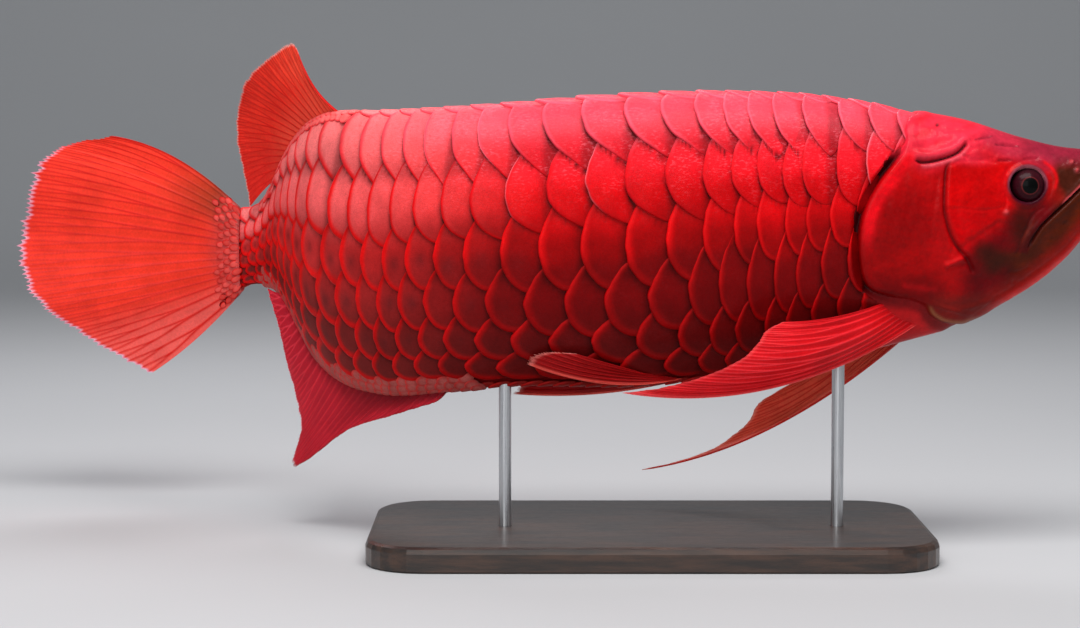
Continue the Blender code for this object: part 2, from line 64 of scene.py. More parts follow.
HALF_WIDTH = ((0, 3), (4, 12), (14, 21), (34, 30), (64, 38), (90, 43.5), (114, 48.5),
              (164, 57), (214, 63), (264, 66), (364, 67), (464, 64), (564, 59),
              (655, 51), (720, 44.5), (793, 36), (837, 30), (879, 24.5), (915, 20),
              (947, 16.5), (978, 13.5), (1010, 10.5), (1040, 7))
WIDEST = ((0, 0.5), (60, 0.52), (160, 0.56), (300, 0.60), (500, 0.60), (800, 0.54), (1040, 0.5))
FULL_ABOVE = ((0, 2.2), (60, 2.7), (160, 3.0), (260, 2.6), (500, 2.35), (800, 2.1), (1040, 2.0))
FULL_BELOW = ((0, 2.2), (60, 2.1), (160, 1.85), (300, 1.75), (500, 1.75), (800, 1.8), (1040, 2.0))

DORSAL_BASE = (792.0, 955.0)
DORSAL_TIPS = ((298, 52, 126), (291, 43, 134), (272, 55, 162), (249, 76, 194),
               (238, 104, 218), (236.5, 138, 236), (243, 170, 246), (250, 207, 250))
ANAL_BASE = (662.0, 940.0)
ANAL_TIPS = ((430, 403, 14), (390, 416, 36), (345, 431, 76), (306, 461, 118),
             (292, 464, 136), (301, 428, 138), (295, 393, 154), (286, 362, 174),
             (279, 328, 196), (267, 288, 220))
CAUDAL_TIPS = ((112, 136, 312), (68, 144, 314), (40, 160, 314), (29, 192, 313),
               (21, 228, 312), (19, 268, 310), (34, 298, 310), (62, 322, 310),
               (100, 347, 308), (150, 374, 304))
PECTORAL_NEAR_TIPS = ((623, 393, -84), (660, 388, -88), (702, 377, -91),
                      (740, 360, -92), (758, 343, -90), (766, 331, -86), (782, 322, -82))
PECTORAL_FAR_TIPS = ((641, 470, 132), (676, 462, 136), (716, 447, 136),
                     (746, 424, 132), (758, 404, 124), (778, 391, 114), (808, 374, 100))
PELVIC_NEAR_TIPS = ((527, 364, -34), (532, 357, -37), (547, 352, -40), (574, 353, -42))
PELVIC_FAR_TIPS = ((515, 394, 34), (519, 387, 38), (536, 381, 40), (565, 376, 42))
SINK = 7.0
BARBEL_LENGTH, BARBEL_ROOT, BARBEL_TIP = 78.0, 2.3, 0.9

# ---------------------------------------------------------------- looks of the coat
# u of the rear rims of the scale columns half way up the flank, from the gill cover back
COLUMNS = (881, 857, 830, 806, 784, 757, 731, 702, 664, 623, 580, 538, 498, 462, 431,
           404, 380.5, 358.5, 338, 318.5, 300)
TAIL_SCALE = ((740, 30.0), (800, 30.0), (880, 28.0), (960, 23.0), (1040, 17.0))    # then by length of scale
# lower tips of the rows of scales, as shares of the depth from crest to keel, by u
ROW_TIPS = (
    ((250, .018), (385, .016), (580, .015), (850, .015)),
    ((250, .24), (385, .285), (580, .235), (742, .21), (800, .215), (831, .185), (880, .175)),
    ((250, .44), (385, .47), (580, .44), (660, .43), (752, .39), (822, .40), (852, .375), (885, .33)),
    ((250, .60), (385, .62), (580, .646), (660, .63), (742, .58), (860, .55)),
    ((250, .75), (385, .76), (580, .80), (742, .775), (860, .74)),
    ((250, .87), (385, .87), (580, .90), (742, .895), (860, .88)),
    ((250, .955), (385, .945), (580, .965), (742, .965), (860, .96)),
)
# how far a row's rear rims stand ahead of the third row's, in scale lengths
ROW_AHEAD = (
    ((250, 0), (880, 0)),
    ((250, .62), (385, .60), (462, .36), (540, .08), (580, .04), (664, -.10), (757, -.32), (784, -.42), (806, -.12), (830, .38), (857, .58), (881, .80)),
    ((250, .35), (385, .32), (500, .20), (580, .14), (664, -.02), (757, -.04), (784, -.08), (806, -.18), (830, .20), (857, .35), (881, .50)),
    ((250, 0), (880, 0)),
    ((250, -.36), (385, -.38), (500, -.38), (580, -.38), (880, -.34)),
    ((250, -.62), (385, -.66), (500, -.72), (580, -.74), (880, -.68)),
    ((250, -.95), (385, -1.0), (500, -1.06), (580, -1.10), (880, -1.0)),
)
# how steeply the lower rear rim slants forward, 0 round to 1 slanting
ROW_SLANT = (
    ((250, 1), (880, 1)),
    ((250, .9), (385, 1), (620, 1), (742, .95), (800, .8), (850, .55), (880, .55)),
    ((250, .1), (385, .15), (500, .45), (586, .65), (700, .55), (835, .15), (880, .10)),
    ((250, .35), (385, .35), (580, .4), (664, .45), (740, .3), (880, .15)),
    ((250, .45), (880, .45)),
    ((250, .45), (880, .45)),
    ((250, .4), (880, .4)),
)
TILT, STEP_DOWN = 0.084, 0.47    # rise of a scale along its length, and of a row over the next one's

EYE_U, EYE_V = 1027.4, 185.0
GILL_LINE = ((924, 60), (920, 108), (910.5, 117), (906.5, 129), (908, 140), (905, 149), (893, 165), (880, 182), (867, 204),
             (860.5, 229), (859.5, 255), (863, 279), (872, 291), (890, 297), (910, 300),
             (925, 306), (932, 316), (944, 323), (962, 325), (975, 321), (1003, 318))
rng = np.random.default_rng(11)


def lin(r, g, b):
    c = np.array((r, g, b), float) / 255.0
    return np.where(c <= 0.04045, c / 12.92, ((c + 0.055) / 1.055) ** 2.4)


# ================================================================ curves
class Line:
    """A smooth line through (x, value) rows, without overshoot, for arrays."""

    def __init__(self, table):
        rows = np.array(table, float)
        self.x, self.y = rows[:, 0], rows[:, 1]
        self.h = np.diff(self.x)
        slopes = np.diff(self.y) / self.h
        m = np.empty_like(self.y)
        m[0], m[-1] = slopes[0], slopes[-1]
        for i in range(1, len(m) - 1):
            a, b = slopes[i - 1], slopes[i]
            if a * b <= 0:
                m[i] = 0.0
            else:
                w0, w1 = 2 * self.h[i] + self.h[i - 1], self.h[i] + 2 * self.h[i - 1]
                m[i] = (w0 + w1) / (w0 / a + w1 / b)
        self.m = m

    def __call__(self, x):
        x = np.asarray(x, float)
        i = np.clip(np.searchsorted(self.x, x) - 1, 0, len(self.x) - 2)
        h = self.h[i]
        s = np.clip((x - self.x[i]) / h, 0, 1)
        return (self.y[i] * (1 + 2 * s) * (1 - s) ** 2 + self.m[i] * h * s * (1 - s) ** 2
                + self.y[i + 1] * s * s * (3 - 2 * s) + self.m[i + 1] * h * s * s * (s - 1))


back_line, belly_line, bend_line = Line(BACK), Line(BELLY), Line(BEND)
half_width, widest = Line(HALF_WIDTH), Line(WIDEST)
full_above, full_below = Line(FULL_ABOVE), Line(FULL_BELOW)


def step(x, a, b):
    s = np.clip((np.asarray(x, float) - a) / (b - a), 0, 1)
    return s * s * (3 - 2 * s)


def hill(x, w):
    return np.exp(-(np.asarray(x, float) / w) ** 2)


def mix(a, b, m):
    return a + (b - a) * m


def along(points, q):
    """Points at 0..1 of a rounded line through the given points."""
    pts = np.array(points, float)
    last = len(pts) - 1
    x = np.clip(np.asarray(q, float), 0, 1) * last
    i = np.minimum(x.astype(int), last - 1)
    s = (x - i)[..., None]
    ext = np.vstack([2 * pts[0] - pts[1], pts, 2 * pts[-1] - pts[-2]])
    p0, p1, p2, p3 = ext[i], ext[i + 1], ext[i + 2], ext[i + 3]
    return 0.5 * (2 * p1 + (p2 - p0) * s + (2 * p0 - 5 * p1 + 4 * p2 - p3) * s * s
                  + (3 * p1 - p0 - 3 * p2 + p3) * s ** 3)


def rounded(points, count):
    """An open line made smooth."""
    return along(points, np.linspace(0, 1, count))


def closed_round(points, count):
    pts = np.array(points, float)
    n = len(pts)
    x = np.linspace(0, n, count, endpoint=False)
    i = x.astype(int)
    s = (x - i)[:, None]
    p0, p1, p2, p3 = pts[(i - 1) % n], pts[i % n], pts[(i + 1) % n], pts[(i + 2) % n]
    return 0.5 * (2 * p1 + (p2 - p0) * s + (2 * p0 - 5 * p1 + 4 * p2 - p3) * s * s
                  + (3 * p1 - p0 - 3 * p2 + p3) * s ** 3)


def seen(u, v, y):
    c, s = math.cos(VIEW_RISE), math.sin(VIEW_RISE)
    a, b = (np.asarray(u, float) - VIEW_U) / VIEW_DISTANCE, (VIEW_V - np.asarray(v, float)) / VIEW_DISTANCE
    y = np.asarray(y, float)
    rise = (b * (VIEW_DISTANCE + y * c) - y * s) / (c + b * s)
    depth = VIEW_DISTANCE + y * c - rise * s
    return np.stack(np.broadcast_arrays(a * depth + VIEW_U, y, rise + FLOOR_V - VIEW_V), -1)


def to_view(p):
    """(u, v) of points in units."""
    c, s = math.cos(VIEW_RISE), math.sin(VIEW_RISE)
    x, y, z = p[..., 0], p[..., 1], p[..., 2]
    rise = z - (FLOOR_V - VIEW_V)
    depth = VIEW_DISTANCE + y * c - rise * s
    return VIEW_U + (x - VIEW_U) * VIEW_DISTANCE / depth, VIEW_V - VIEW_DISTANCE * (rise * c + y * s) / depth


def seen_u(x, y, z):
    c, s = math.cos(VIEW_RISE), math.sin(VIEW_RISE)
    depth = VIEW_DISTANCE + y * c - (z - FLOOR_V + VIEW_V) * s
    return VIEW_U + (x - VIEW_U) * VIEW_DISTANCE / depth


def place(p):
    out = np.array(p, float)
    out[..., 0] -= ORIGIN_U
    out[..., 1] -= ORIGIN_Y
    return out * UNIT


def gap_to(u, v, line):
    """Distance from every (u, v) to a line, and the share of its length where it is nearest."""
    best = np.full(np.shape(u), 1e9)
    share = np.zeros(np.shape(u))
    lengths = np.hypot(*(line[1:] - line[:-1]).T)
    ends = np.concatenate([[0], np.cumsum(lengths)])
    for k in range(len(line) - 1):
        a, b = line[k], line[k + 1]
        d = b - a
        s = np.clip(((u - a[0]) * d[0] + (v - a[1]) * d[1]) / max(d @ d, 1e-9), 0, 1)
        dist = np.hypot(u - a[0] - s * d[0], v - a[1] - s * d[1])
        near = dist < best
        best = np.where(near, dist, best)
        share = np.where(near, (ends[k] + s * lengths[k]) / ends[-1], share)
    return best, share


def inside(u, v, outline):
    found = np.zeros(np.shape(u), bool)
    n = len(outline)
    for k in range(n):
        a, b = outline[k], outline[(k + 1) % n]
        if a[1] == b[1]:
            continue
        cross = ((a[1] > v) != (b[1] > v)) & (u < (b[0] - a[0]) * (v - a[1]) / (b[1] - a[1]) + a[0])
        found ^= cross
    return found


# ================================================================ the body's surface
SPINE_STEP = 2.0
heads = np.radians(bend_line((np.arange(660) + 0.5) * SPINE_STEP))
start = seen(SNOUT_U, 156.0, 0.0)
SPINE_X = start[0] - SPINE_STEP * np.concatenate([[0], np.cumsum(np.cos(heads))])
SPINE_Y = SPINE_STEP * np.concatenate([[0], np.cumsum(np.sin(heads))])
SPINE_T = np.arange(661) * SPINE_STEP


def section(t):
    t = np.asarray(t, float)
    x, y = np.interp(t, SPINE_T, SPINE_X), np.interp(t, SPINE_T, SPINE_Y)
    crest = np.full(t.shape, FLOOR_V - 240.0)
    keel = crest.copy()
    for _ in range(3):
        crest = seen(0, back_line(seen_u(x, y, crest)), y)[..., 2]
        keel = seen(0, belly_line(seen_u(x, y, keel)), y)[..., 2]
    return x, y, np.radians(bend_line(t)), keel, crest, half_width(t)


T_STEP, T_END, HALF = 2.0, 1070.0, 160
TS = np.arange(0, T_END + 0.1, T_STEP)


def make_surface():
    x, y, heading, keel, crest, width = section(TS)
    width = width * (1 - 0.75 * step(TS, 1022, 1052))
    level = keel + (crest - keel) * widest(TS)
    above, below = 2 / full_above(TS), 2 / full_below(TS)
    turn = np.linspace(0, math.pi, 1401)
    up, side = np.cos(turn), np.clip(np.sin(turn), 0, 1)
    table = np.zeros((len(TS), 2 * HALF, 3))
    girth = np.zeros(len(TS))
    for k in range(len(TS)):
        power = np.where(up >= 0, above[k], below[k])
        across = width[k] * side ** power
        height = level[k] + np.abs(up) ** power * np.where(up >= 0, crest[k] - level[k], keel[k] - level[k])
        run = np.concatenate([[0], np.cumsum(np.hypot(np.diff(across), np.diff(height)))])
        girth[k] = run[-1]
        at = np.linspace(0, 1, HALF + 1) * run[-1]
        a, z = np.interp(at, run, across), np.interp(at, run, height)
        a[0] = a[-1] = 0.0
        # q from -1 (keel) over the left side to 0 (crest) and down the right side to 1
        a_full = np.concatenate([a[::-1], -a[1:-1]])
        z_full = np.concatenate([z[::-1], z[1:-1]])
        table[k, :, 0] = x[k] + a_full * math.sin(heading[k])
        table[k, :, 1] = y[k] + a_full * math.cos(heading[k])
        table[k, :, 2] = z_full
    dt = np.gradient(table, axis=0)
    dq = np.roll(table, -1, 1) - np.roll(table, 1, 1)
    normal = np.cross(dq, dt)
    middle = table.mean(axis=1, keepdims=True)
    flip = np.sum(normal * (table - middle), axis=2, keepdims=True)
    normal *= np.where(np.mean(flip) < 0, -1.0, 1.0)
    normal /= np.linalg.norm(normal, axis=2, keepdims=True) + 1e-9
    return table, normal, girth


SURFACE, NORMALS, GIRTH = make_surface()


def weights(f):
    return ((-f + 2 * f * f - f ** 3) / 2, (2 - 5 * f * f + 3 * f ** 3) / 2,
            (f + 4 * f * f - 3 * f ** 3) / 2, (f ** 3 - f * f) / 2)


def on_body(t, q):
    """Surface points and normals at lengths t and girth places q (-1 keel, 0 crest, 1 keel)."""
    t, q = np.broadcast_arrays(np.asarray(t, float), np.asarray(q, float))
    x = np.clip(t / T_STEP, 0, len(TS) - 1.0001)
    i = x.astype(int)
    y = ((q + 1) % 2) / 2 * (2 * HALF)
    j = y.astype(int)
    wx, wy = weights(x - i), weights(y - j)
    p = np.zeros(t.shape + (3,))
    n = np.zeros(t.shape + (3,))
    for a in range(4):
        ia = np.clip(i + a - 1, 0, len(TS) - 1)
        for b in range(4):
            w = (wx[a] * wy[b])[..., None]
            jb = (j + b - 1) % (2 * HALF)
            p += SURFACE[ia, jb] * w
            n += NORMALS[ia, jb] * w
    return p, n / (np.linalg.norm(n, axis=-1, keepdims=True) + 1e-9)


def girth_at(t):
    return np.interp(t, TS, GIRTH)


def share_of_depth(t, g):
    """How far down the side view a place at girth share g lies, 0 crest to 1 keel."""
    p, _ = on_body(t, np.abs(g))
    top, _ = on_body(t, np.zeros_like(np.asarray(g, float)))
    low, _ = on_body(t, np.ones_like(np.asarray(g, float)))
    return np.clip((top[..., 2] - p[..., 2]) / np.maximum(top[..., 2] - low[..., 2], 1), 0, 1)


def girth_share(t, f):
    """The girth share where the side view's depth share is f, for one t."""
    g = np.linspace(0, 1, 201)
    return np.interp(f, share_of_depth(np.full(201, float(t)), g), g)


def gill_ahead(p):
    """Signed distance ahead of the gill cover's free edge in the side view, and the height in that view."""
    same = p.copy()
    same[..., 1] = -np.abs(same[..., 1])
    u, v = to_view(same)
    edge = np.vstack([rounded(GILL_LINE[:6], 20), rounded(GILL_LINE[5:], 50)])
    area = np.vstack([edge, [(1300, 330)], [(1300, -40)], [(924, -40)]])
    dist, _ = gap_to(u, v, edge)
    return np.where(inside(u, v, area), dist, -dist), v


# ================================================================ making meshes
def make_object(name, points, quads=None, tris=None, colour=None, floats=None, uv=None, loop_uv=None, smooth=True):
    parts = []
    if quads is not None and len(quads):
        parts.append(np.asarray(quads, np.int32))
    if tris is not None and len(tris):
        parts.append(np.asarray(tris, np.int32))
    loops = np.concatenate([f.ravel() for f in parts])
    sizes = np.concatenate([np.full(len(f), f.shape[1]) for f in parts])
    starts = np.concatenate([[0], np.cumsum(sizes)[:-1]]).astype(np.int32)
    mesh = bpy.data.meshes.new(name)
    mesh.vertices.add(len(points))
    mesh.vertices.foreach_set("co", np.asarray(points, np.float32).ravel())
    mesh.loops.add(len(loops))
    mesh.loops.foreach_set("vertex_index", loops)
    mesh.polygons.add(len(sizes))
    mesh.polygons.foreach_set("loop_start", starts)
    mesh.update(calc_edges=True)
    if uv is not None or loop_uv is not None:
        layer = mesh.uv_layers.new(name="OFBake")
        data = loop_uv if loop_uv is not None else np.asarray(uv)[loops]
        layer.data.foreach_set("uv", np.asarray(data, np.float32).ravel())
    if colour is not None:
        layer = mesh.color_attributes.new(name="Tint", type="FLOAT_COLOR", domain="POINT")
        rgba = np.ones((len(points), 4), np.float32)
        rgba[:, :3] = np.clip(colour, 0, 1)
        layer.data.foreach_set("color", rgba.ravel())
    for key, values in (floats or {}).items():
        layer = mesh.attributes.new(key, "FLOAT", "POINT")
        layer.data.foreach_set("value", np.asarray(values, np.float32).ravel())
    mesh.polygons.foreach_set("use_smooth", np.full(len(sizes), smooth))
    mesh.update()
    made = bpy.data.objects.new(name, mesh)
    bpy.context.scene.collection.objects.link(made)
    return made


class Nodes:
    """A small helper for making materials."""

    def __init__(self, name):
        self.material = bpy.data.materials.new(name)
        self.material.use_nodes = True
        self.tree = self.material.node_tree
        self.shader = self.tree.nodes["Principled BSDF"]
        self.coords = self.tree.nodes.new("ShaderNodeTexCoord")

    def link(self, a, b):
        self.tree.links.new(a, b)

    def put(self, kind, **values):
        node = self.tree.nodes.new(kind)
        for key, value in values.items():
            if hasattr(node, key):
                setattr(node, key, value)
            else:
                node.inputs[key.replace("_", " ")].default_value = value
        return node

    def attribute(self, name, colour=False):
        node = self.put("ShaderNodeAttribute", attribute_name=name)
        return node.outputs["Color" if colour else "Fac"]

    def noise(self, scale, detail=3.0, rough=0.55, stretch=None, kind="FBM"):
        node = self.tree.nodes.new("ShaderNodeTexNoise")
        node.inputs["Scale"].default_value = scale
        node.inputs["Detail"].default_value = detail
        node.inputs["Roughness"].default_value = rough
        self.link(self.mapped(stretch), node.inputs["Vector"])
        return node.outputs["Fac"]

    def mapped(self, stretch=None):
        if stretch is None:
            return self.coords.outputs["Object"]
        node = self.tree.nodes.new("ShaderNodeMapping")
        node.inputs["Scale"].default_value = stretch
        self.link(self.coords.outputs["Object"], node.inputs["Vector"])
        return node.outputs["Vector"]

    def cells(self, scale, feature="F1", stretch=None, output="Distance"):
        node = self.tree.nodes.new("ShaderNodeTexVoronoi")
        node.feature = feature
        node.inputs["Scale"].default_value = scale
        self.link(self.mapped(stretch), node.inputs["Vector"])
        return node.outputs[output]

    def math(self, op, a, b=None, c=None, clamp=False):
        node = self.tree.nodes.new("ShaderNodeMath")
        node.operation = op
        node.use_clamp = clamp
        for k, value in enumerate((a, b, c)):
            if value is None:
                continue
            if isinstance(value, (int, float)):
                node.inputs[k].default_value = value
            else:
                self.link(value, node.inputs[k])
        return node.outputs[0]

    def fit(self, value, low, high, to_low=0.0, to_high=1.0, smooth=False):
        node = self.tree.nodes.new("ShaderNodeMapRange")
        node.interpolation_type = "SMOOTHSTEP" if smooth else "LINEAR"
        self.link(value, node.inputs["Value"])
        for key, number in (("From Min", low), ("From Max", high), ("To Min", to_low), ("To Max", to_high)):
            node.inputs[key].default_value = number
        return node.outputs["Result"]

    def blend(self, a, b, factor, kind="MIX"):
        node = self.tree.nodes.new("ShaderNodeMix")
        node.data_type = "RGBA"
        node.blend_type = kind
        node.clamp_factor = True
        for socket, value in ((node.inputs["Factor"], factor), (node.inputs["A"], a), (node.inputs["B"], b)):
            pass
        sockets = {s.identifier: s for s in node.inputs}
        for key, value in (("Factor_Float", factor), ("A_Color", a), ("B_Color", b)):
            if isinstance(value, (int, float)):
                sockets[key].default_value = value
            elif isinstance(value, (tuple, list, np.ndarray)):
                sockets[key].default_value = (*[float(x) for x in value], 1.0)
            else:
                self.link(value, sockets[key])
        return {s.identifier: s for s in node.outputs}["Result_Color"]

    def scaled(self, colour, value):
        """A colour times a number."""
        node = self.tree.nodes.new("ShaderNodeVectorMath")
        node.operation = "SCALE"
        self.link(colour, node.inputs[0])
        self.link(value, node.inputs["Scale"])
        return node.outputs[0]

    def bump(self, height, strength, distance, normal=None):
        node = self.tree.nodes.new("ShaderNodeBump")
        node.inputs["Strength"].default_value = strength
        node.inputs["Distance"].default_value = distance
        self.link(height, node.inputs["Height"])
        if normal is not None:
            self.link(normal, node.inputs["Normal"])
        return node.outputs["Normal"]

    def wear(self, **values):
        for key, value in values.items():
            socket = self.shader.inputs[key.replace("_", " ")]
            if isinstance(value, (int, float, tuple)):
                socket.default_value = value
            else:
                self.link(value, socket)
        return self.material


# ---------------------------------------------------------------- materials
def coat_material():
    n = Nodes("scaled_skin")
    tint = n.attribute("Tint", True)
    grain = n.attribute("Grain")
    pale = n.attribute("Pale")
    broad = n.noise(90, 3)
    fine = n.noise(620, 4, 0.65)
    beads = n.noise(1300, 2, 0.5, stretch=(0.40, 0.40, 1.0))
    granules = n.cells(1050, "DISTANCE_TO_EDGE")
    value = n.math("MULTIPLY", n.fit(broad, 0.3, 0.7, 0.86, 1.12), n.fit(fine, 0.25, 0.75, 0.88, 1.12))
    colour = n.scaled(tint, value)
    net = n.math("MULTIPLY", n.fit(granules, 0.0, 0.10, 0.20, 0.0), grain)
    colour = n.blend(colour, lin(96, 2, 8), net)
    patchy = n.math("MULTIPLY", n.fit(broad, 0.42, 0.62, 0.25, 1.0, True), pale)
    dots = n.math("MULTIPLY", n.fit(beads, 0.50, 0.70, 0.0, 0.25, True), patchy)
    colour = n.blend(colour, lin(255, 118, 134), dots)
    hollows = n.math("MULTIPLY", n.fit(beads, 0.46, 0.32, 0.0, 0.28, True), patchy)
    colour = n.blend(colour, lin(205, 10, 36), hollows)
    rough = n.math("ADD", n.fit(fine, 0.3, 0.7, 0.34, 0.48), n.math("MULTIPLY", grain, 0.05))
    relief = n.math("ADD", n.math("MULTIPLY", n.fit(granules, 0.0, 0.16, 0.0, 1.0, True), n.math("MULTIPLY", grain, 0.5)),
                    n.math("ADD", n.math("MULTIPLY", fine, 0.4), n.math("MULTIPLY", beads, n.math("MULTIPLY", pale, 1.6))))
    normal = n.bump(relief, 0.30, 0.00025)
    return n.wear(Base_Color=colour, Roughness=rough, Normal=normal, Coat_Weight=0.035, Coat_Roughness=0.16,
                  Specular_IOR_Level=0.05)


def flesh_material():
    n = Nodes("head_skin")
    tint = n.attribute("Tint", True)
    broad = n.noise(70, 4)
    fine = n.noise(520, 5, 0.65)
    pores = n.cells(900, "F1")
    value = n.math("MULTIPLY", n.fit(broad, 0.3, 0.7, 0.74, 1.14), n.fit(fine, 0.25, 0.75, 0.80, 1.14))
    colour = n.scaled(tint, value)
    rough = n.fit(fine, 0.3, 0.7, 0.32, 0.46)
    relief = n.math("ADD", n.math("MULTIPLY", broad, 1.0), n.math("ADD", n.math("MULTIPLY", fine, 0.5),
                    n.math("MULTIPLY", n.fit(pores, 0.0, 0.25, 0.0, 1.0, True), 0.16)))
    normal = n.bump(relief, 0.28, 0.0006)
    return n.wear(Base_Color=colour, Roughness=rough, Normal=normal, Coat_Weight=0.05, Coat_Roughness=0.14,
                  Specular_IOR_Level=0.06)


def fin_material():
    n = Nodes("fin_membrane")
    tint = n.attribute("Tint", True)
    ray = n.attribute("Ray")
    reach = n.attribute("Reach")
    broad = n.noise(60, 3)
    fine = n.noise(900, 3, 0.6)
    value = n.math("MULTIPLY", n.fit(broad, 0.3, 0.7, 0.86, 1.12), n.fit(fine, 0.25, 0.75, 0.90, 1.10))
    colour = n.scaled(tint, value)
    joints = n.math("SINE", n.math("MULTIPLY", reach, 420.0))
    relief = n.math("ADD", n.math("MULTIPLY", n.math("MULTIPLY", joints, ray), 0.35), n.math("MULTIPLY", fine, 0.5))
    normal = n.bump(relief, 0.25, 0.00025)
    rough = n.fit(fine, 0.3, 0.7, 0.38, 0.52)
    return n.wear(Base_Color=colour, Roughness=rough, Normal=normal, Coat_Weight=0.04, Coat_Roughness=0.2,
                  Subsurface_Weight=0.2, Subsurface_Radius=(1.0, 0.2, 0.12), Subsurface_Scale=0.003,
                  Specular_IOR_Level=0.06)


COAT, FLESH, FIN = coat_material(), flesh_material(), fin_material()


def dress(obj, material, slot, *nodes):
    obj.data.materials.clear()
    obj.data.materials.append(material)
    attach(obj, "root")
    if nodes:
        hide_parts(*nodes)
    return obj


# ================================================================ scale lattice
t_grid = np.arange(190, 1062, 2.0)
u_grid, _ = to_view(on_body(t_grid, np.array([girth_share(t, 0.52) for t in t_grid]))[0])
order = np.argsort(u_grid)
column_t = list(np.interp(COLUMNS, u_grid[order], t_grid[order]))
column_u = list(COLUMNS)
tail_scale = Line(TAIL_SCALE)
while column_t[-1] < 1046:
    column_t.append(column_t[-1] + float(tail_scale(column_t[-1])))
    column_u.append(float(np.interp(column_t[-1], t_grid, u_grid)))
column_t = np.array(column_t)
spacing = np.gradient(column_t)
spacing = np.convolve(np.pad(spacing, 1, mode="edge"), (0.25, 0.5, 0.25), "valid")
spacing_at = lambda t: np.interp(t, column_t, spacing)
row_tips = [Line(r) for r in ROW_TIPS]
row_ahead = [Line(r) for r in ROW_AHEAD]
row_slant = [Line(r) for r in ROW_SLANT]


def coat_depth(t):
    return np.clip(0.185 * spacing_at(t), 2.4, 8.0)


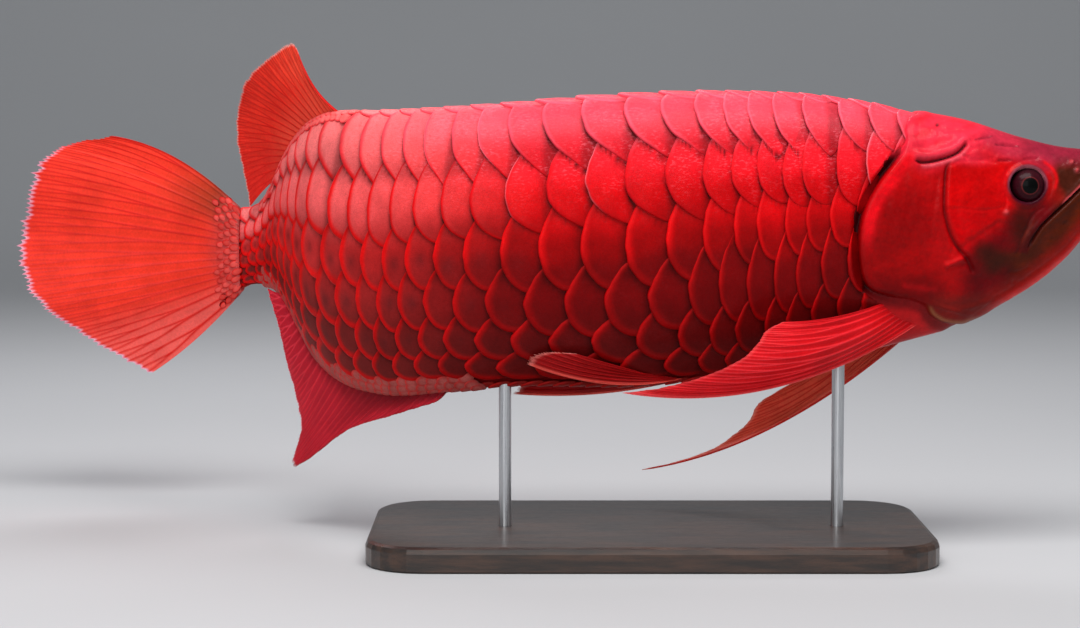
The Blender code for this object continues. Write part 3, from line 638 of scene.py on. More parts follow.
# ================================================================ the skin
def make_skin():
    lengths = np.concatenate([[0, 0.5], np.arange(1.4, 262, 1.22), np.arange(264, 1060, 9.0)])
    half = 150
    g = np.linspace(0, 1, 2001)
    density = 1 + 0.9 * hill(g - 0.46, 0.34)
    run = np.concatenate([[0], np.cumsum((density[1:] + density[:-1]) / 2)])
    g_half = np.interp(np.linspace(0, 1, half + 1), run / run[-1], g)
    q = np.concatenate([-g_half[::-1], g_half[1:-1]])      # keel, left side, crest, right side
    t = lengths[:, None] * np.ones(len(q))
    qq = np.ones((len(lengths), 1)) * q
    p, normal = on_body(t, qq)
    mirrored = p.copy()
    head = t < 330
    mirrored[..., 1] = np.where(head, -np.abs(p[..., 1]), p[..., 1])
    u, v = to_view(mirrored)
    side = np.abs(normal[..., 1])
    facing = step(side, 0.10, 0.34)
    gg = np.abs(qq)

    # the free edge of the gill cover and its skin, as a signed distance, ahead of it positive
    edge = np.vstack([rounded(GILL_LINE[:6], 40), rounded(GILL_LINE[5:], 90)])
    area = np.vstack([edge, [(1300, 330)], [(1300, -40)], [(924, -40)]])
    dist, share = gap_to(u, v, edge)
    ahead = np.where(inside(u, v, area), dist, -dist)
    ahead = np.where(t > 300, -60, ahead)
    free = step(v, 147, 160)      # above this the skin runs on into the nape
    coat = coat_depth(t)
    girdle = step(v, 292, 318) * step(u, 838, 872) * (t < 400)     # bare skin round the pectoral fin's root
    bare = mix(coat, 0.6, girdle)
    lift = np.zeros_like(t)
    # nape: the head's level sinks gently under the first scales
    throat = step(v, 288, 304)      # under the throat the edge is a thin fold, not an opening
    gap = mix(8.5, 2.6, throat)
    cliff = -bare * step(-ahead, 3.0, 12.0) - gap * step(-ahead, -1.2, 1.6) * step(ahead, -9.5, -2.5)
    lip = mix(1.5, 0.9, throat) * hill(ahead - 5.5, 4.0) - mix(1.6, 0.5, throat) * hill(ahead + 0.4, 1.4)
    nape = -coat * step(-ahead, -1.0, 3.5) + 0.8 * hill(ahead - 6, 5)
    lift += mix(nape, cliff + lip, free)

    def groove(points, depth, width, part=1.0, fade=True, count=40):
        d, s = gap_to(u, v, rounded(points, count))
        taper = step(s, 0, 0.12) * step(s, 1, 0.88) if fade else 1.0
        return -depth * hill(d, width) * taper * part

    # slit over the gill cover, with its fleshy upper lip
    slit = rounded(((913, 159.5), (925, 162), (943, 158.5), (957, 153), (966, 144.5)), 40)
    d_slit, s_slit = gap_to(u, v, slit)
    above = v < np.interp(u, slit[:, 0], slit[:, 1])
    within = step(u, 908, 920) * step(u, 972, 962)
    lift += facing * (-5.0 * hill(d_slit, 1.7) * step(s_slit, 0, 0.15)
                      + np.where(above, 2.8 * hill(d_slit - 6, 4.5), 0.9 * hill(d_slit - 4, 3)) * within)
    lift += facing * groove(((958, 153), (963, 155.5), (970, 158)), 2.2, 1.4)
    # plates of the cheek
    d_pre, s_pre = gap_to(u, v, rounded(((949, 163), (946, 172), (944.5, 198), (945, 213), (949, 230), (956, 245), (966.5, 258), (972, 271)), 60))
    front = u > np.interp(v, (160, 172, 198, 213, 230, 245, 258, 271), (950, 946, 944.5, 945, 949, 956, 966.5, 972))
    span = step(v, 158, 170) * step(v, 284, 266)
    lift += facing * span * (-2.6 * hill(d_pre, 1.9) + np.where(front, 1.5 * hill(d_pre - 5, 5), 0.3 * hill(d_pre - 3, 3)))
    lift += facing * groove(((948, 210), (962, 208.5), (978, 210.5), (992, 209.5), (1005, 207)), 0.7, 1.3)
    lift += facing * groove(((1004, 220), (985, 232), (960, 249)), 1.0, 2.4)
    lift += facing * groove(((949, 167), (963, 160.5), (985, 161), (1002, 163)), 0.9, 1.6)
    lift += facing * groove(((1006, 165), (1008, 180), (1006, 205), (1003, 214)), 1.0, 1.8)
    lift += facing * groove(((938, 172), (935, 200), (932, 225), (928, 246)), 0.55, 2.4)
    lift += facing * 1.6 * hill(np.hypot(u - 1006, v - 212), 3.0)
    # folds behind the jaw's joint
    lift -= facing * groove(((944, 266.5), (955, 261.5), (965, 257)), 2.3, 2.3)
    lift += facing * groove(((948, 236), (953, 247), (950, 257)), 1.1, 1.6)
    lift += facing * groove(((945, 270), (958, 266), (969, 264)), 1.2, 1.8)
    lift += facing * groove(((958, 249), (962, 256), (970, 262), (975, 275)), 1.2, 1.6)
    lift += facing * groove(((1008, 272), (1018, 272), (1027, 268)), 0.9, 1.5)
    # mouth: the cleft, the long upper jaw bone over it, the lower jaw's lip
    mouth = rounded(((1124, 153), (1113, 161), (1096, 174), (1080, 189.5), (1063, 206), (1050, 218), (1040, 228.5), (1031.5, 242), (1026.5, 253)), 80)
    d_mouth, s_mouth = gap_to(u, v, mouth)
    over = v < np.interp(u, mouth[::-1, 0], mouth[::-1, 1])
    reach = step(s_mouth, 1.0, 0.88)
    lift += reach * (-4.2 * hill(d_mouth, 1.3) + np.where(over, 1.6 * hill(d_mouth - 4.2, 3.0), 0.7 * hill(d_mouth - 4, 3)))
    lift += facing * groove(((1048, 205), (1034, 214), (1027, 228), (1021, 246), (1015, 258)), 1.3, 1.8)
    lift -= facing * 1.2 * hill(d_mouth - 13, 6) * (~over) * reach
    # lower jaw: canal pores and the fold along its lower edge
    for pu, pv in ((1066, 224), (1052, 240), (1040, 255), (1028, 268), (1014, 282)):
        lift += facing * -1.2 * hill(np.hypot(u - pu, (v - pv)), 2.2)
    lift += facing * groove(((1085, 226), (1062, 251), (1040, 268), (1012, 288), (985, 302)), 0.8, 2.2)
    # orbit
    eye = np.hypot(u - EYE_U, v - EYE_V)
    lift += facing * (1.5 * hill(eye - 19.4, 2.4) - 0.7 * hill(eye - 24.5, 2.0)) - 13.0 * step(eye, 17.4, 14.8) * (side > 0.2)
    crescent, s_c = gap_to(u, v, rounded(((1040, 160), (1051.6, 168.5), (1056.5, 180), (1053, 193)), 24))
    lift += facing * 1.1 * hill(crescent, 3.2)
    # nostrils
    lift += facing * (3.2 * hill(np.hypot(u - 1072, v - 163), 2.6) - 2.6 * hill(np.hypot(u - 1074.5, v - 163), 1.1)
                      + 2.2 * hill(np.hypot((u - 1077) * 1.3, v - 171.5), 3.4) - 2.5 * hill(np.hypot(u - 1078.5, v - 172), 1.5))
    # short slits and pores of the skull
    for pts, depth, width in ((((995, 144.3), (1003, 145), (1010, 145.3), (1018, 146.5)), 2.0, 1.15),
                              (((975, 139.5), (980, 139.5), (985, 137), (992, 136.5)), 1.4, 1.1),
                              (((998, 160), (1004, 160.5), (1012, 160)), 1.8, 1.2),
                              (((942, 132.5), (950, 130), (957, 129.8), (966, 130.5)), 0.9, 1.1),
                              (((978, 160.5), (986, 159), (996, 158)), 0.8, 1.1),
                              (((1022, 160), (1030, 158.5), (1040, 159)), 1.0, 1.3)):
        lift += facing * groove(pts, depth, width)
    lift += -1.6 * hill(np.hypot(u - 937.5, v - 124.5), 1.7) * (side > 0.05)
    # under the throat: skin folds with the gill rays, and the seam between the jaws
    for k in range(5):
        lift += facing * groove(((930 + 5 * k, 302 + k), (948 + 5 * k, 309 + 1.2 * k), (975 + 5 * k, 306 - 2.5 * k)), -0.7, 1.5)
    lift -= 2.2 * hill(p[..., 1], 2.6) * (gg > 0.8) * step(u, 968, 985) * step(u, 1092, 1070)
    lift -= facing * 1.0 * hill(v - belly_line(u) + 7, 4) * step(u, 975, 1000) * -0.6

    uneven = (0.25 * np.sin(u * 0.21 + v * 0.13) * np.sin(v * 0.19 - u * 0.07)
              + 0.16 * np.sin(u * 0.37 - v * 0.29 + 1.3) * np.sin(v * 0.43 + u * 0.17)
              + 0.10 * np.sin(u * 0.83 + v * 0.31 + 0.7 * np.sin(v * 0.3)) * np.sin(v * 0.71 - u * 0.2)) * facing * step(ahead, 0, 10)
    # fine wrinkles over the nape and round the slit
    wrinkle = step(v - back_line(u), 0, 10) * step(v, 168, 150) * step(u, 908, 925) * step(u, 1050, 1010)
    uneven += 0.35 * wrinkle * facing * np.sin(0.55 * v + 0.10 * u + 1.6 * np.sin(u * 0.09 + v * 0.05)) * np.sin(u * 0.11 + 1.1)
    p = p + normal * (lift + uneven)[..., None]

    # ------------------------------------------------------------ colours
    colour = np.ones(t.shape + (3,)) * lin(178, 4, 8)

    def paint(rgb, mask):
        nonlocal colour
        colour = mix(colour, lin(*rgb), np.clip(mask, 0, 1)[..., None])

    top = back_line(u)
    low = belly_line(u)
    soft = 6 * np.sin(u * 0.11 + 0.4) * np.sin(v * 0.13 + 1.0)      # uneven borders between the colours
    us, vs = u + soft, v + 0.7 * soft
    paint((140, 0, 2), step(u, 958, 900) * step(vs, 165, 205))
    paint((164, 0, 2), np.exp(-(((u - 905) / 26) ** 2 + ((v - 262) / 24) ** 2)))
    paint((112, 0, 2), step(v, 268, 293) * step(u, 955, 930))
    paint((232, 40, 62), step(vs - top, 64, 30) * step(us, 1004, 968))
    paint((222, 22, 40), np.clip(np.sin(u * 0.16 + 2 * np.sin(v * 0.1)) * np.sin(v * 0.23 + u * 0.04), 0, 1) * step(v - top, 56, 20) * step(u, 1004, 960) * 0.7)
    paint((178, 34, 56), step(vs - top, 34, 12) * step(us, 960, 992))
    paint((140, 26, 48), step(vs - top, 26, 10) * step(us, 1010, 1044))
    # a brighter band inside the gill cover's free edge: the flange's own red with a painted highlight on its upper
    # part
    paint((238, 10, 24), 0.9 * hill(ahead - 8.5, 6.0) * free * step(v, 262, 225))
    paint((196, 0, 2), step(u, 943, 950) * step(us, 1014, 1002) * step(v, 158, 170) * step(v, 216, 204))
    paint((186, 0, 4), step(u, 945, 954) * step(us, 1010, 988) * step(v, 206, 216) * step(v + 0.55 * (u - 1003), 232, 212))
    lower = step(v + 0.60 * (u - 1003), 214, 240) * step(u, 948, 978)
    paint((104, 0, 6), lower * step(v, 206, 228))
    paint((84, 2, 8), step(us, 1004, 1022) * step(vs, 192, 212) * 0.9)
    paint((66, 22, 10), step(us, 1046, 1064) * step(v, 152, 172))
    paint((60, 16, 8), hill(u - 1022, 13) * hill(v - 228, 26) * 0.8)
    paint((54, 20, 9), np.exp(-(((us - 998) / 22) ** 2 + ((vs - 261) / 14) ** 2) ** 1.6) * 0.92)
    jaw = step(np.where(over, -d_mouth, d_mouth), -1, 3) * step(u, 1000, 1022)
    paint((70, 22, 6), jaw)
    paint((116, 32, 10), jaw * hill(d_mouth - 15, 8) * 0.6 * (0.6 + 0.4 * np.sin(u * 0.19 + v * 0.1)))
    paint((64, 20, 9), hill(np.hypot(u - 1040, v - 258), 9) * 0.8 + hill(np.hypot(u - 1066, v - 224), 6) * 0.7)
    paint((146, 14, 6), step(low - v, 30, 9) * step(us, 972, 1004))
    paint((214, 10, 12), step(low - v, 10, 2) * step(u, 960, 985))
    paint((112, 24, 18), step(v, 288, 304) * step(u, 920, 942) * step(us, 1012, 980) * 0.8)
    paint((158, 96, 62), hill(ahead - 3.0, 1.8) * step(v, 303, 311) * step(u, 985, 955) * step(u, 922, 932) * 0.8)
    paint((222, 8, 18), 0.8 * hill(crescent, 1.7) * step(s_c, 0, 0.15) * step(s_c, 1.0, 0.75) * facing)
    paint((206, 4, 14), hill(eye - 24, 4) * step(u, 1018, 1004) * 0.5)
    paint((58, 8, 22), step(eye, 22.0, 18.6) * facing)
    paint((150, 70, 86), hill(eye - 19.0, 1.0) * 0.7 * facing * step(v, 196, 178))
    # a painted highlight: a pale pink arc at the top inside the orbit
    paint((214, 120, 130), hill(eye - 16.9, 1.1) * 0.8 * facing * step(v, 184, 172) * step(u, 1014, 1022))
    paint((34, 4, 12), step(eye, 16.6, 15.6) * facing)
    paint((240, 92, 96), hill(d_mouth - 2.3, 1.4) * over * step(u, 1060, 1066) * reach)
    paint((120, 34, 22), hill(d_mouth - 8.5, 1.5) * over * step(u, 1040, 1026) * reach * 0.6)
    paint((40, 6, 6), hill(d_mouth, 1.1) * reach)
    paint((34, 2, 8), hill(d_slit, 1.6) * step(s_slit, 0.0, 0.1) * facing)
    # a painted highlight: pale lilac just below the slit
    paint((206, 96, 110), hill(d_slit - 4.0, 2.0) * (~above) * within * 0.45 * step(u, 918, 926))
    paint((244, 70, 92), hill(d_slit - 5.0, 3.0) * above * within * 0.4)
    paint((84, 0, 4), hill(d_pre, 1.5) * span * 0.85)
    paint((232, 20, 26), hill(gap_to(u, v, rounded(((946, 265), (955, 260), (964, 256.5)), 12))[0], 2.4) * facing * 0.35)
    paint((230, 12, 22), hill(gap_to(u, v, rounded(((905, 285), (920, 287.5), (934, 289.5)), 12))[0], 3.4) * 0.3)
    paint((222, 80, 84), hill(np.hypot(u - 1006, v - 212), 2.2) * 0.6)
    for pts in (((995, 144.3), (1003, 145), (1010, 145.3), (1018, 146.5)), ((975, 139.5), (985, 137.3), (992, 136.5)),
                ((998, 160), (1004, 160.5), (1012, 160))):
        paint((70, 6, 22), hill(gap_to(u, v, rounded(pts, 12))[0], 1.0) * 0.5)
    paint((60, 4, 16), hill(np.hypot(u - 937.5, v - 124.5), 1.8))
    paint((226, 80, 86), 0.6 * (hill(np.hypot(u - 1071, v - 162), 2.0) + hill(np.hypot(u - 1077, v - 170.5), 2.2)) * facing)
    behind = step(-ahead, -0.8, 1.2) * free
    # painted shade: dark in the gap behind the gill cover's free edge, and darker behind the thin fold under the
    # throat
    paint((46, 3, 6), behind * step(ahead, -12, -6) * (1 - throat))
    paint((128, 16, 20), behind * throat * 0.8)
    paint((120, 4, 8), step(-ahead, 8, 16) * (1 - girdle))
    paint((196, 22, 26), girdle * step(-ahead, 6, 14) * 0.9)
    body = step(t, 262, 300)
    paint((96, 6, 8), body)
    paint((170, 50, 44), step(t, 985, 1045))

    # ------------------------------------------------------------ unwrap: the head has most of it
    warp = np.interp(lengths, (0, 262, 1060), (0.01, 0.80, 0.99))
    rise = (np.arange(len(q) + 1)) / len(q)
    rows, n = len(lengths), len(q)
    index = np.arange(rows * n).reshape(rows, n)
    a, b = index[:-1, :], np.roll(index, -1, 1)[:-1, :]
    c, d = np.roll(index, -1, 1)[1:, :], index[1:, :]
    quads = np.stack([a, d, c, b], -1).reshape(-1, 4)
    i, j = np.meshgrid(np.arange(rows - 1), np.arange(n), indexing="ij")
    corner = lambda ii, jj: np.stack([warp[ii], 0.01 + 0.98 * rise[jj]], -1)
    quad_uv = np.stack([corner(i, j), corner(i + 1, j), corner(i + 1, j + 1), corner(i, j + 1)], 2).reshape(-1, 2)
    points = p.reshape(-1, 3)
    tip, stem = len(points), len(points) + 1
    points = np.vstack([points, p[0].mean(0), p[-1].mean(0)])
    k = np.arange(n)
    tris = np.vstack([np.stack([np.full(n, tip), k, (k + 1) % n], -1),
                      np.stack([np.full(n, stem), (rows - 1) * n + (k + 1) % n, (rows - 1) * n + k], -1)])
    tri_uv = np.vstack([
        np.stack([np.stack([np.full(n, 0.002), rise[k]], -1), np.stack([np.full(n, warp[0]), rise[k]], -1),
                  np.stack([np.full(n, warp[0]), rise[k + 1]], -1)], 1).reshape(-1, 2),
        np.stack([np.stack([np.full(n, 0.998), rise[k]], -1), np.stack([np.full(n, warp[-1]), rise[k + 1]], -1),
                  np.stack([np.full(n, warp[-1]), rise[k]], -1)], 1).reshape(-1, 2)])
    flat = colour.reshape(-1, 3)
    flat = np.vstack([flat, flat[0], flat[-1]])
    made = make_object("skin", place(points), quads, tris, flat, loop_uv=np.vstack([quad_uv, tri_uv]))
    return dress(made, FLESH, "skin", "head", "lower_jaw", "gill_cover_right", "gill_cover_left",
                 "trunk_front", "trunk_rear", "tail_front", "tail_rear")


make_skin()


# ================================================================ scales
def flank_colours(f, t, v):
    """Colours of a scale's middle and rim by depth share f and length t."""
    # middle, rim and tail colours all grow darker down the flank: below about a third of the depth this darkening is
    # painted shade from light above
    tail = step(t, 560, 860)[..., None]
    f3 = f[..., None]
    wave = 0.020 * np.sin(t * 0.031 + 1.0) + 0.012 * np.sin(t * 0.083 + 4 * f)
    g3 = (f + wave)[..., None]
    core = mix(lin(244, 66, 84), lin(228, 22, 36), step(f3, 0.06, 0.20))
    core = mix(core, lin(204, 2, 8), step(f3, 0.20, 0.34))
    core = mix(core, lin(144, 0, 2), step(g3, 0.36, 0.50))
    # a painted shadow line just below half depth, darker below it
    core = mix(core, lin(112, 1, 3), step(g3, 0.505, 0.575))
    core = mix(core, lin(90, 10, 10), step(f3, 0.66, 0.88))
    rim = mix(lin(250, 84, 104), lin(226, 12, 24), step(f3, 0.08, 0.24))
    rim = mix(rim, lin(190, 2, 6), step(f3, 0.24, 0.46))
    rim = mix(rim, lin(142, 2, 4), step(g3, 0.50, 0.58))
    rim = mix(rim, lin(136, 5, 6), step(f3, 0.75, 0.9))
    core_tail = mix(lin(252, 122, 120), lin(244, 100, 100), step(f3, 0.10, 0.34))
    core_tail = mix(core_tail, lin(190, 44, 44), step(f3, 0.32, 0.50))
    core_tail = mix(core_tail, lin(116, 34, 32), step(f3, 0.54, 0.78))
    rim_tail = mix(lin(240, 52, 56), lin(236, 18, 18), step(f3, 0.08, 0.28))
    rim_tail = mix(rim_tail, lin(206, 8, 10), step(f3, 0.55, 0.8))
    return mix(core, core_tail, tail), mix(rim, rim_tail, tail)


def leaf(w, top=None, sharp=0.0):
    """Outline of one scale round its rearmost point, in scale lengths (rear +) and row heights (down +).
    The rear rim is what shows; the rest lies under the scales in front and above."""
    low = ((-.02 - .04 * w, .14), (-.055 - .10 * w, .28), (-.12 - .24 * w, .42), (-.26 - .41 * w, .56),
           (-.48 - .42 * w, .66), (-.80 - .30 * w, .735), (-1.20, .745), (-1.52, .58), (-1.66, .20), (-1.66, -.22))
    high = ((-1.50, -.58), (-1.18, -.82), (-.84, -.90), (-.52, -.82), (-.30, -.62), (-.13, -.38), (-.04, -.18))
    if sharp:
        keen = ((-.03, .17), (-.08, .33), (-.16, .47), (-.27, .60), (-.42, .71), (-.66, .78), (-1.15, .775), (-1.50, .60),
                (-1.66, .20), (-1.66, -.22))
        low = tuple((mix(a, c, sharp), mix(b, d, sharp)) for (a, b), (c, d) in zip(low, keen))
    if top is not None:
        high = tuple((a, b if b > -.3 else -.3 + (b + .3) * (top - .3) / .6) for a, b in high)
    return ((0, 0),) + low + high


def crest_leaf():
    half = ((-.045, .30), (-.20, .62), (-.48, .86), (-.85, .97), (-1.22, .90), (-1.50, .55))
    return ((0, 0),) + half + ((-1.60, 0),) + tuple((a, -b) for a, b in half[::-1])


def plates(name, specs, t0, t1, segments, rings):
    """One joined piece of many scales. A spec is a dict with the place, size and outline of one scale."""
    rings = np.array(rings)
    nr = len(rings)
    points, colours, grain, pale, uvs, uvs_low = [], [], [], [], [], []
    for s in specs:
        outline = closed_round(s["outline"], segments)
        centre = np.array(s.get("centre", (-0.72, -0.04)))
        size, high, rnd = s["size"], s["high"], s["rnd"]
        ring = rings[:, None]
        a = centre[0] + ring * (outline[:, 0] - centre[0])
        b = centre[1] + ring * (outline[:, 1] - centre[1])
        # a slightly uneven rim
        wob = 0.010 * (np.sin(outline[:, 1] * 9 + rnd * 40) + np.sin(outline[:, 1] * 21 + rnd * 77) * 0.6) * ring ** 3
        a = a + wob
        span = girth_at(s["t"])
        away = (1 - ring) * np.hypot((outline[:, 0] - centre[0]) * size, (outline[:, 1] - centre[1]) * high)
        turn = s.get("turn", 0.0)
        au, bu = a * size, b * high
        au, bu = au * math.cos(turn) - bu * math.sin(turn), au * math.sin(turn) + bu * math.cos(turn)
        t = s["t"] + au
        q = s["q"] + s["side"] * bu / span
        la = s.get("tilt", TILT) * size
        lb = STEP_DOWN * la
        base = -0.022 * size - 0.15 + s.get("up", 0.0)
        along_b = b * s.get("slope", 1.0) + s.get("level", 0.0)
        rise = base + la * a + lb * along_b
        rise = rise - s.get("dome", 0.016) * min(high, 1.6 * size) * (b / 0.75) ** 2
        rise = rise + (0.030 if s.get("row", 9) < 3 else 0.018) * size * np.sin(math.pi * np.clip(-a / 1.1, 0, 1))
        r = min(1.9, 0.045 * size + 0.25)
        e = np.clip(away, 0, r)
        rise = rise - 1.05 * r * (1 - np.sqrt(np.clip(1 - (1 - e / r) ** 2, 0, 1)))
        rise = rise + 0.010 * size * hill(away - 0.12 * size, 0.06 * size)
        rise = rise + 0.0035 * size * np.sin(a * 9 + rnd * 20) * np.cos(b * 7 + rnd * 31)
        # faint growth lines, parallel to the rim
        rise = rise + 0.0011 * size * np.sin(away / size * 62) * step(away, 0.16 * size, 0.3 * size)
        p, normal = on_body(t, q)
        if s["t"] < 330:
            near, v_here = gill_ahead(p)
            rise = rise - (11.0 * step(near, -9.0, -2.0) + 6.0 * step(near, -2.0, 8.0)) * step(v_here, 140, 156)
            rise = rise - 3.0 * step(near, -4.0, 2.0) * step(v_here, 156, 140)
        top = p + normal * rise[..., None]
        thick = 0.5 + 0.028 * size
        low = p[-1] + normal[-1] * (rise[-1] - thick)[..., None]
        mid, mid_n = on_body(s["t"] + centre[0] * size, s["q"] + s["side"] * centre[1] * high / span)
        under = mid + mid_n * (base + la * centre[0] - thick - 0.6)
        points.append(np.vstack([top[0].mean(0)[None], top[1:].reshape(-1, 3), low, under[None]]))

        f = share_of_depth(t, q)
        _, v = to_view(p)
        core, rim = flank_colours(f, t, v)
        edge_width = s.get("edge", 0.17) * size
        m = step(away, edge_width * 1.35, edge_width * 0.55)[..., None] * step(a, -1.5, -0.95)[..., None]
        tone = mix(core, rim, m)
        tone = tone * (1 + 0.09 * (rnd - 0.5) * 2)
        # painted shade: darker where it runs under the scale in front and the row above
        tone = tone * mix(0.55, 1.0, step(a, -1.16, -0.90))[..., None]
        tone = tone * mix(0.62, 1.0, step(b, -0.62, -0.34))[..., None]
        # painted shade on the first rows: lighter high on each scale, darker towards its lower rim and rear tip, as
        # on a rounded face lit from above
        if s.get("row", 9) < 3:
            tone = tone * mix(1.06, 0.80, step(b, -0.05, 0.66))[..., None] * mix(1.0, 0.90, step(a, -0.30, 0.0))[..., None]
        # a painted highlight: a pale line along the upper rear rim of a few scales
        rim_highlight_paint = (0.50 if rnd > 0.80 else 0.03) * step(f, 0.50, 0.2)
        tone = mix(tone, lin(255, 150, 164), (hill(away - 0.3, 0.012 * size + 0.35) * rim_highlight_paint * step(b, 0.62, 0.3) * (a > -0.8))[..., None])
        # painted light along the upper rear rims, which face the light above
        rim_light_paint = hill(away - 0.04 * size, 0.045 * size + 0.3) * step(b, 0.35, -0.1) * (a > -0.8) * step(f, 0.25, 0.5) * mix(0.6, 0.30, step(f, 0.48, 0.58))
        tone = mix(tone, lin(238, 16, 20), rim_light_paint[..., None])
        # painted shadows along the rims of the scales that lie over this one, deepest under their lower rims, where
        # light from above leaves shade
        for other in s.get("over", ()):
            line = closed_round(other["outline"], 150)
            ou = line[:, 0] * other["size"] + other["t"] - s["t"]
            ov = line[:, 1] * other["high"] + (abs(other["q"]) - abs(s["q"])) * span
            gap = np.full(au.shape, 1e9)
            side_b = np.zeros(au.shape)
            for k in range(150):
                dist = np.hypot(au - ou[k], bu - ov[k])
                near = dist < gap
                gap[near] = dist[near]
                side_b[near] = line[k, 1]
            strong = 0.80 if s["row"] < 3 else 0.36
            weight = mix(0.16, strong, step(side_b, -0.15, 0.38))
            shade = 1 - weight * np.exp(-(gap / (0.032 * size + 0.5)) ** 1.3) - 0.30 * weight * np.exp(-gap / (0.14 * size))
            tone = tone * np.clip(shade, 0.12, 1)[..., None]
        dark = s.get("spot", 0.0)
        if dark > 0:
            d = np.hypot((a + 0.56 + 0.1 * (rnd - 0.5)) * size / high * 1.5, b - 0.10 + 0.2 * (rnd - 0.5))
            tone = mix(tone, lin(60, 26, 28), (dark * hill(d, 0.19))[..., None])
        if "tint" in s:
            tone = mix(tone, lin(*s["tint"][:3]), s["tint"][3] * (1 - 0.6 * m))
        # the under side of each scale is painted at half brightness, as shade
        colours.append(np.vstack([tone[0].mean(0)[None], tone[1:].reshape(-1, 3), tone[-1] * 0.5, tone[0].mean(0)[None] * 0.5]))
        g_here = mix(1.0, 0.35, m[..., 0])
        p_here = mix(1.0, 0.04, step(f, 0.16, 0.44)) * (1 - m[..., 0])
        grain.append(np.concatenate([[g_here[0].mean()], g_here[1:].ravel(), g_here[-1], [0]]))
        pale.append(np.concatenate([[p_here[0].mean()], p_here[1:].ravel(), p_here[-1], [0]]))
        # a patch at the root's place, on the unwrap of the body's own surface
        cu = (s["t"] - 0.5 * size - t0) / (t1 - t0)
        cv = s["q"] if s["side"] > 0 else -s["q"]
        wide, tall = 0.88 * s["cell"][0] / (t1 - t0), 0.88 * s["cell"][1] / span
        box = outline.max(0) - outline.min(0)
        uv = np.stack([cu + (a - centre[0]) / box[0] * wide, cv + (b - centre[1]) / box[1] * tall], -1)
        corner = np.array([[cu + 0.46 * wide, cv + 0.46 * tall]])
        uvs.append(np.vstack([np.array([[cu, cv]]), uv[1:].reshape(-1, 2), uv[-1], corner]))
        hidden = corner + (uv[-1] - np.array([[cu, cv]])) * 0.04
        uvs_low.append(np.vstack([np.array([[cu, cv]]), uv[1:].reshape(-1, 2), hidden, corner]))
    m = segments
    count = 1 + (nr - 1) * m + m + 1
    k = np.arange(m)
    nxt = (k + 1) % m
    fan = np.stack([np.zeros(m, int), 1 + k, 1 + nxt], -1)
    bands = []
    for ring_index in range(nr - 1):       # the last band goes down to the under side
        lo, hi = 1 + ring_index * m, 1 + (ring_index + 1) * m
        bands.append(np.stack([lo + k, hi + k, hi + nxt, lo + nxt], -1))
    bands = np.vstack(bands)
    last = 1 + (nr - 1) * m
    closing = np.stack([np.full(m, count - 1), last + nxt, last + k], -1)
    total = len(specs)
    shift = (np.arange(total) * count)[:, None, None]
    quads = (bands[None] + shift).reshape(-1, 4)
    tri_top = (fan[None] + shift).reshape(-1, 3)
    tri_low = (closing[None] + shift).reshape(-1, 3)
    points = np.vstack(points)
    uv_all, uv_low = np.vstack(uvs), np.vstack(uvs_low)
    flipped = np.array([s["side"] < 0 for s in specs])
    # the winding follows the side, so that every face looks outwards
    turn_q = np.repeat(flipped, len(bands))
    quads[~turn_q] = quads[~turn_q][:, ::-1]
    turn_t = np.repeat(flipped, m)
    tri_top[~turn_t] = tri_top[~turn_t][:, ::-1]
    tri_low[~turn_t] = tri_low[~turn_t][:, ::-1]
    tris = np.vstack([tri_top, tri_low])
    loop_uv = np.vstack([uv_all[quads.ravel()], uv_all[tri_top.ravel()], uv_low[tri_low.ravel()]])
    lowest, highest = loop_uv.min(0), loop_uv.max(0)
    loop_uv = 0.01 + 0.98 * (loop_uv - lowest) / (highest - lowest)
    made = make_object(name, place(points), quads, tris, np.vstack(colours),
                       {"Grain": np.concatenate(grain), "Pale": np.concatenate(pale)}, loop_uv=loop_uv)
    return dress(made, COAT, "skin")


FINE = (0, .18, .36, .52, .65, .76, .84, .895, .935, .96, .978, .991, 1.0)
PLAIN = (0, .40, .70, .86, .95, 1.0)


def lattice():
    big, crest = [], []
    for i, t_col in enumerate(column_t):
        u_col = column_u[i]
        size = float(spacing[i])
        span = float(girth_at(t_col))
        tips = [float(girth_share(t_col, row_tips[j](u_col))) for j in range(7)]
        tail = float(step(t_col, 640, 820))
        if t_col < 786:
            crest.append(dict(t=t_col + 0.1 * size, q=0.0, side=1, size=size, high=tips[0] * span / 0.80,
                              outline=crest_leaf(), centre=(-0.75, 0.0), rnd=rng.random(), slope=0.0, level=0.60,
                              dome=0.012, tilt=0.055, edge=0.09, cell=(size, 1.5 * tips[0] * span)))
        for j in range(1, 7):
            # in front, the rows end at the gill opening and the pectoral fin's root
            if u_col > 870 and j == 3:
                continue
            high_g = tips[j] - tips[j - 1]
            high = high_g * span
            g = tips[j] - 0.715 * high_g
            ahead = float(row_ahead[j](u_col))
            slant = float(row_slant[j](u_col))
            edge = mix(0.10, 0.24, tail) if j <= 2 else mix(0.19, 0.26, tail)
            top = (0.285 + 1.15 * tips[0] / high_g) if j == 1 else None
            for side in (1, -1):
                big.append(dict(row=j,
                    t=t_col - ahead * size + rng.normal(0, 0.03) * size, q=side * (g + rng.normal(0, 0.015) * high_g),
                    side=side, size=size * (1 + rng.normal(0, 0.015)), high=high * (1 + rng.normal(0, 0.015)),
                    outline=leaf(np.clip(slant + rng.normal(0, 0.06), -0.1, 1.1), top, 0.75 if j > 2 else 0.0), rnd=rng.random(),
                    turn=rng.normal(0, 0.018), edge=edge, col=i, cell=(size, high),
                    spot=float(rng.random() < 0.75) * float(step(t_col, 560, 720))
                    * (0.5 if j in (3, 4) else 0.3 if j == 5 else 0.0)))
    return big, crest


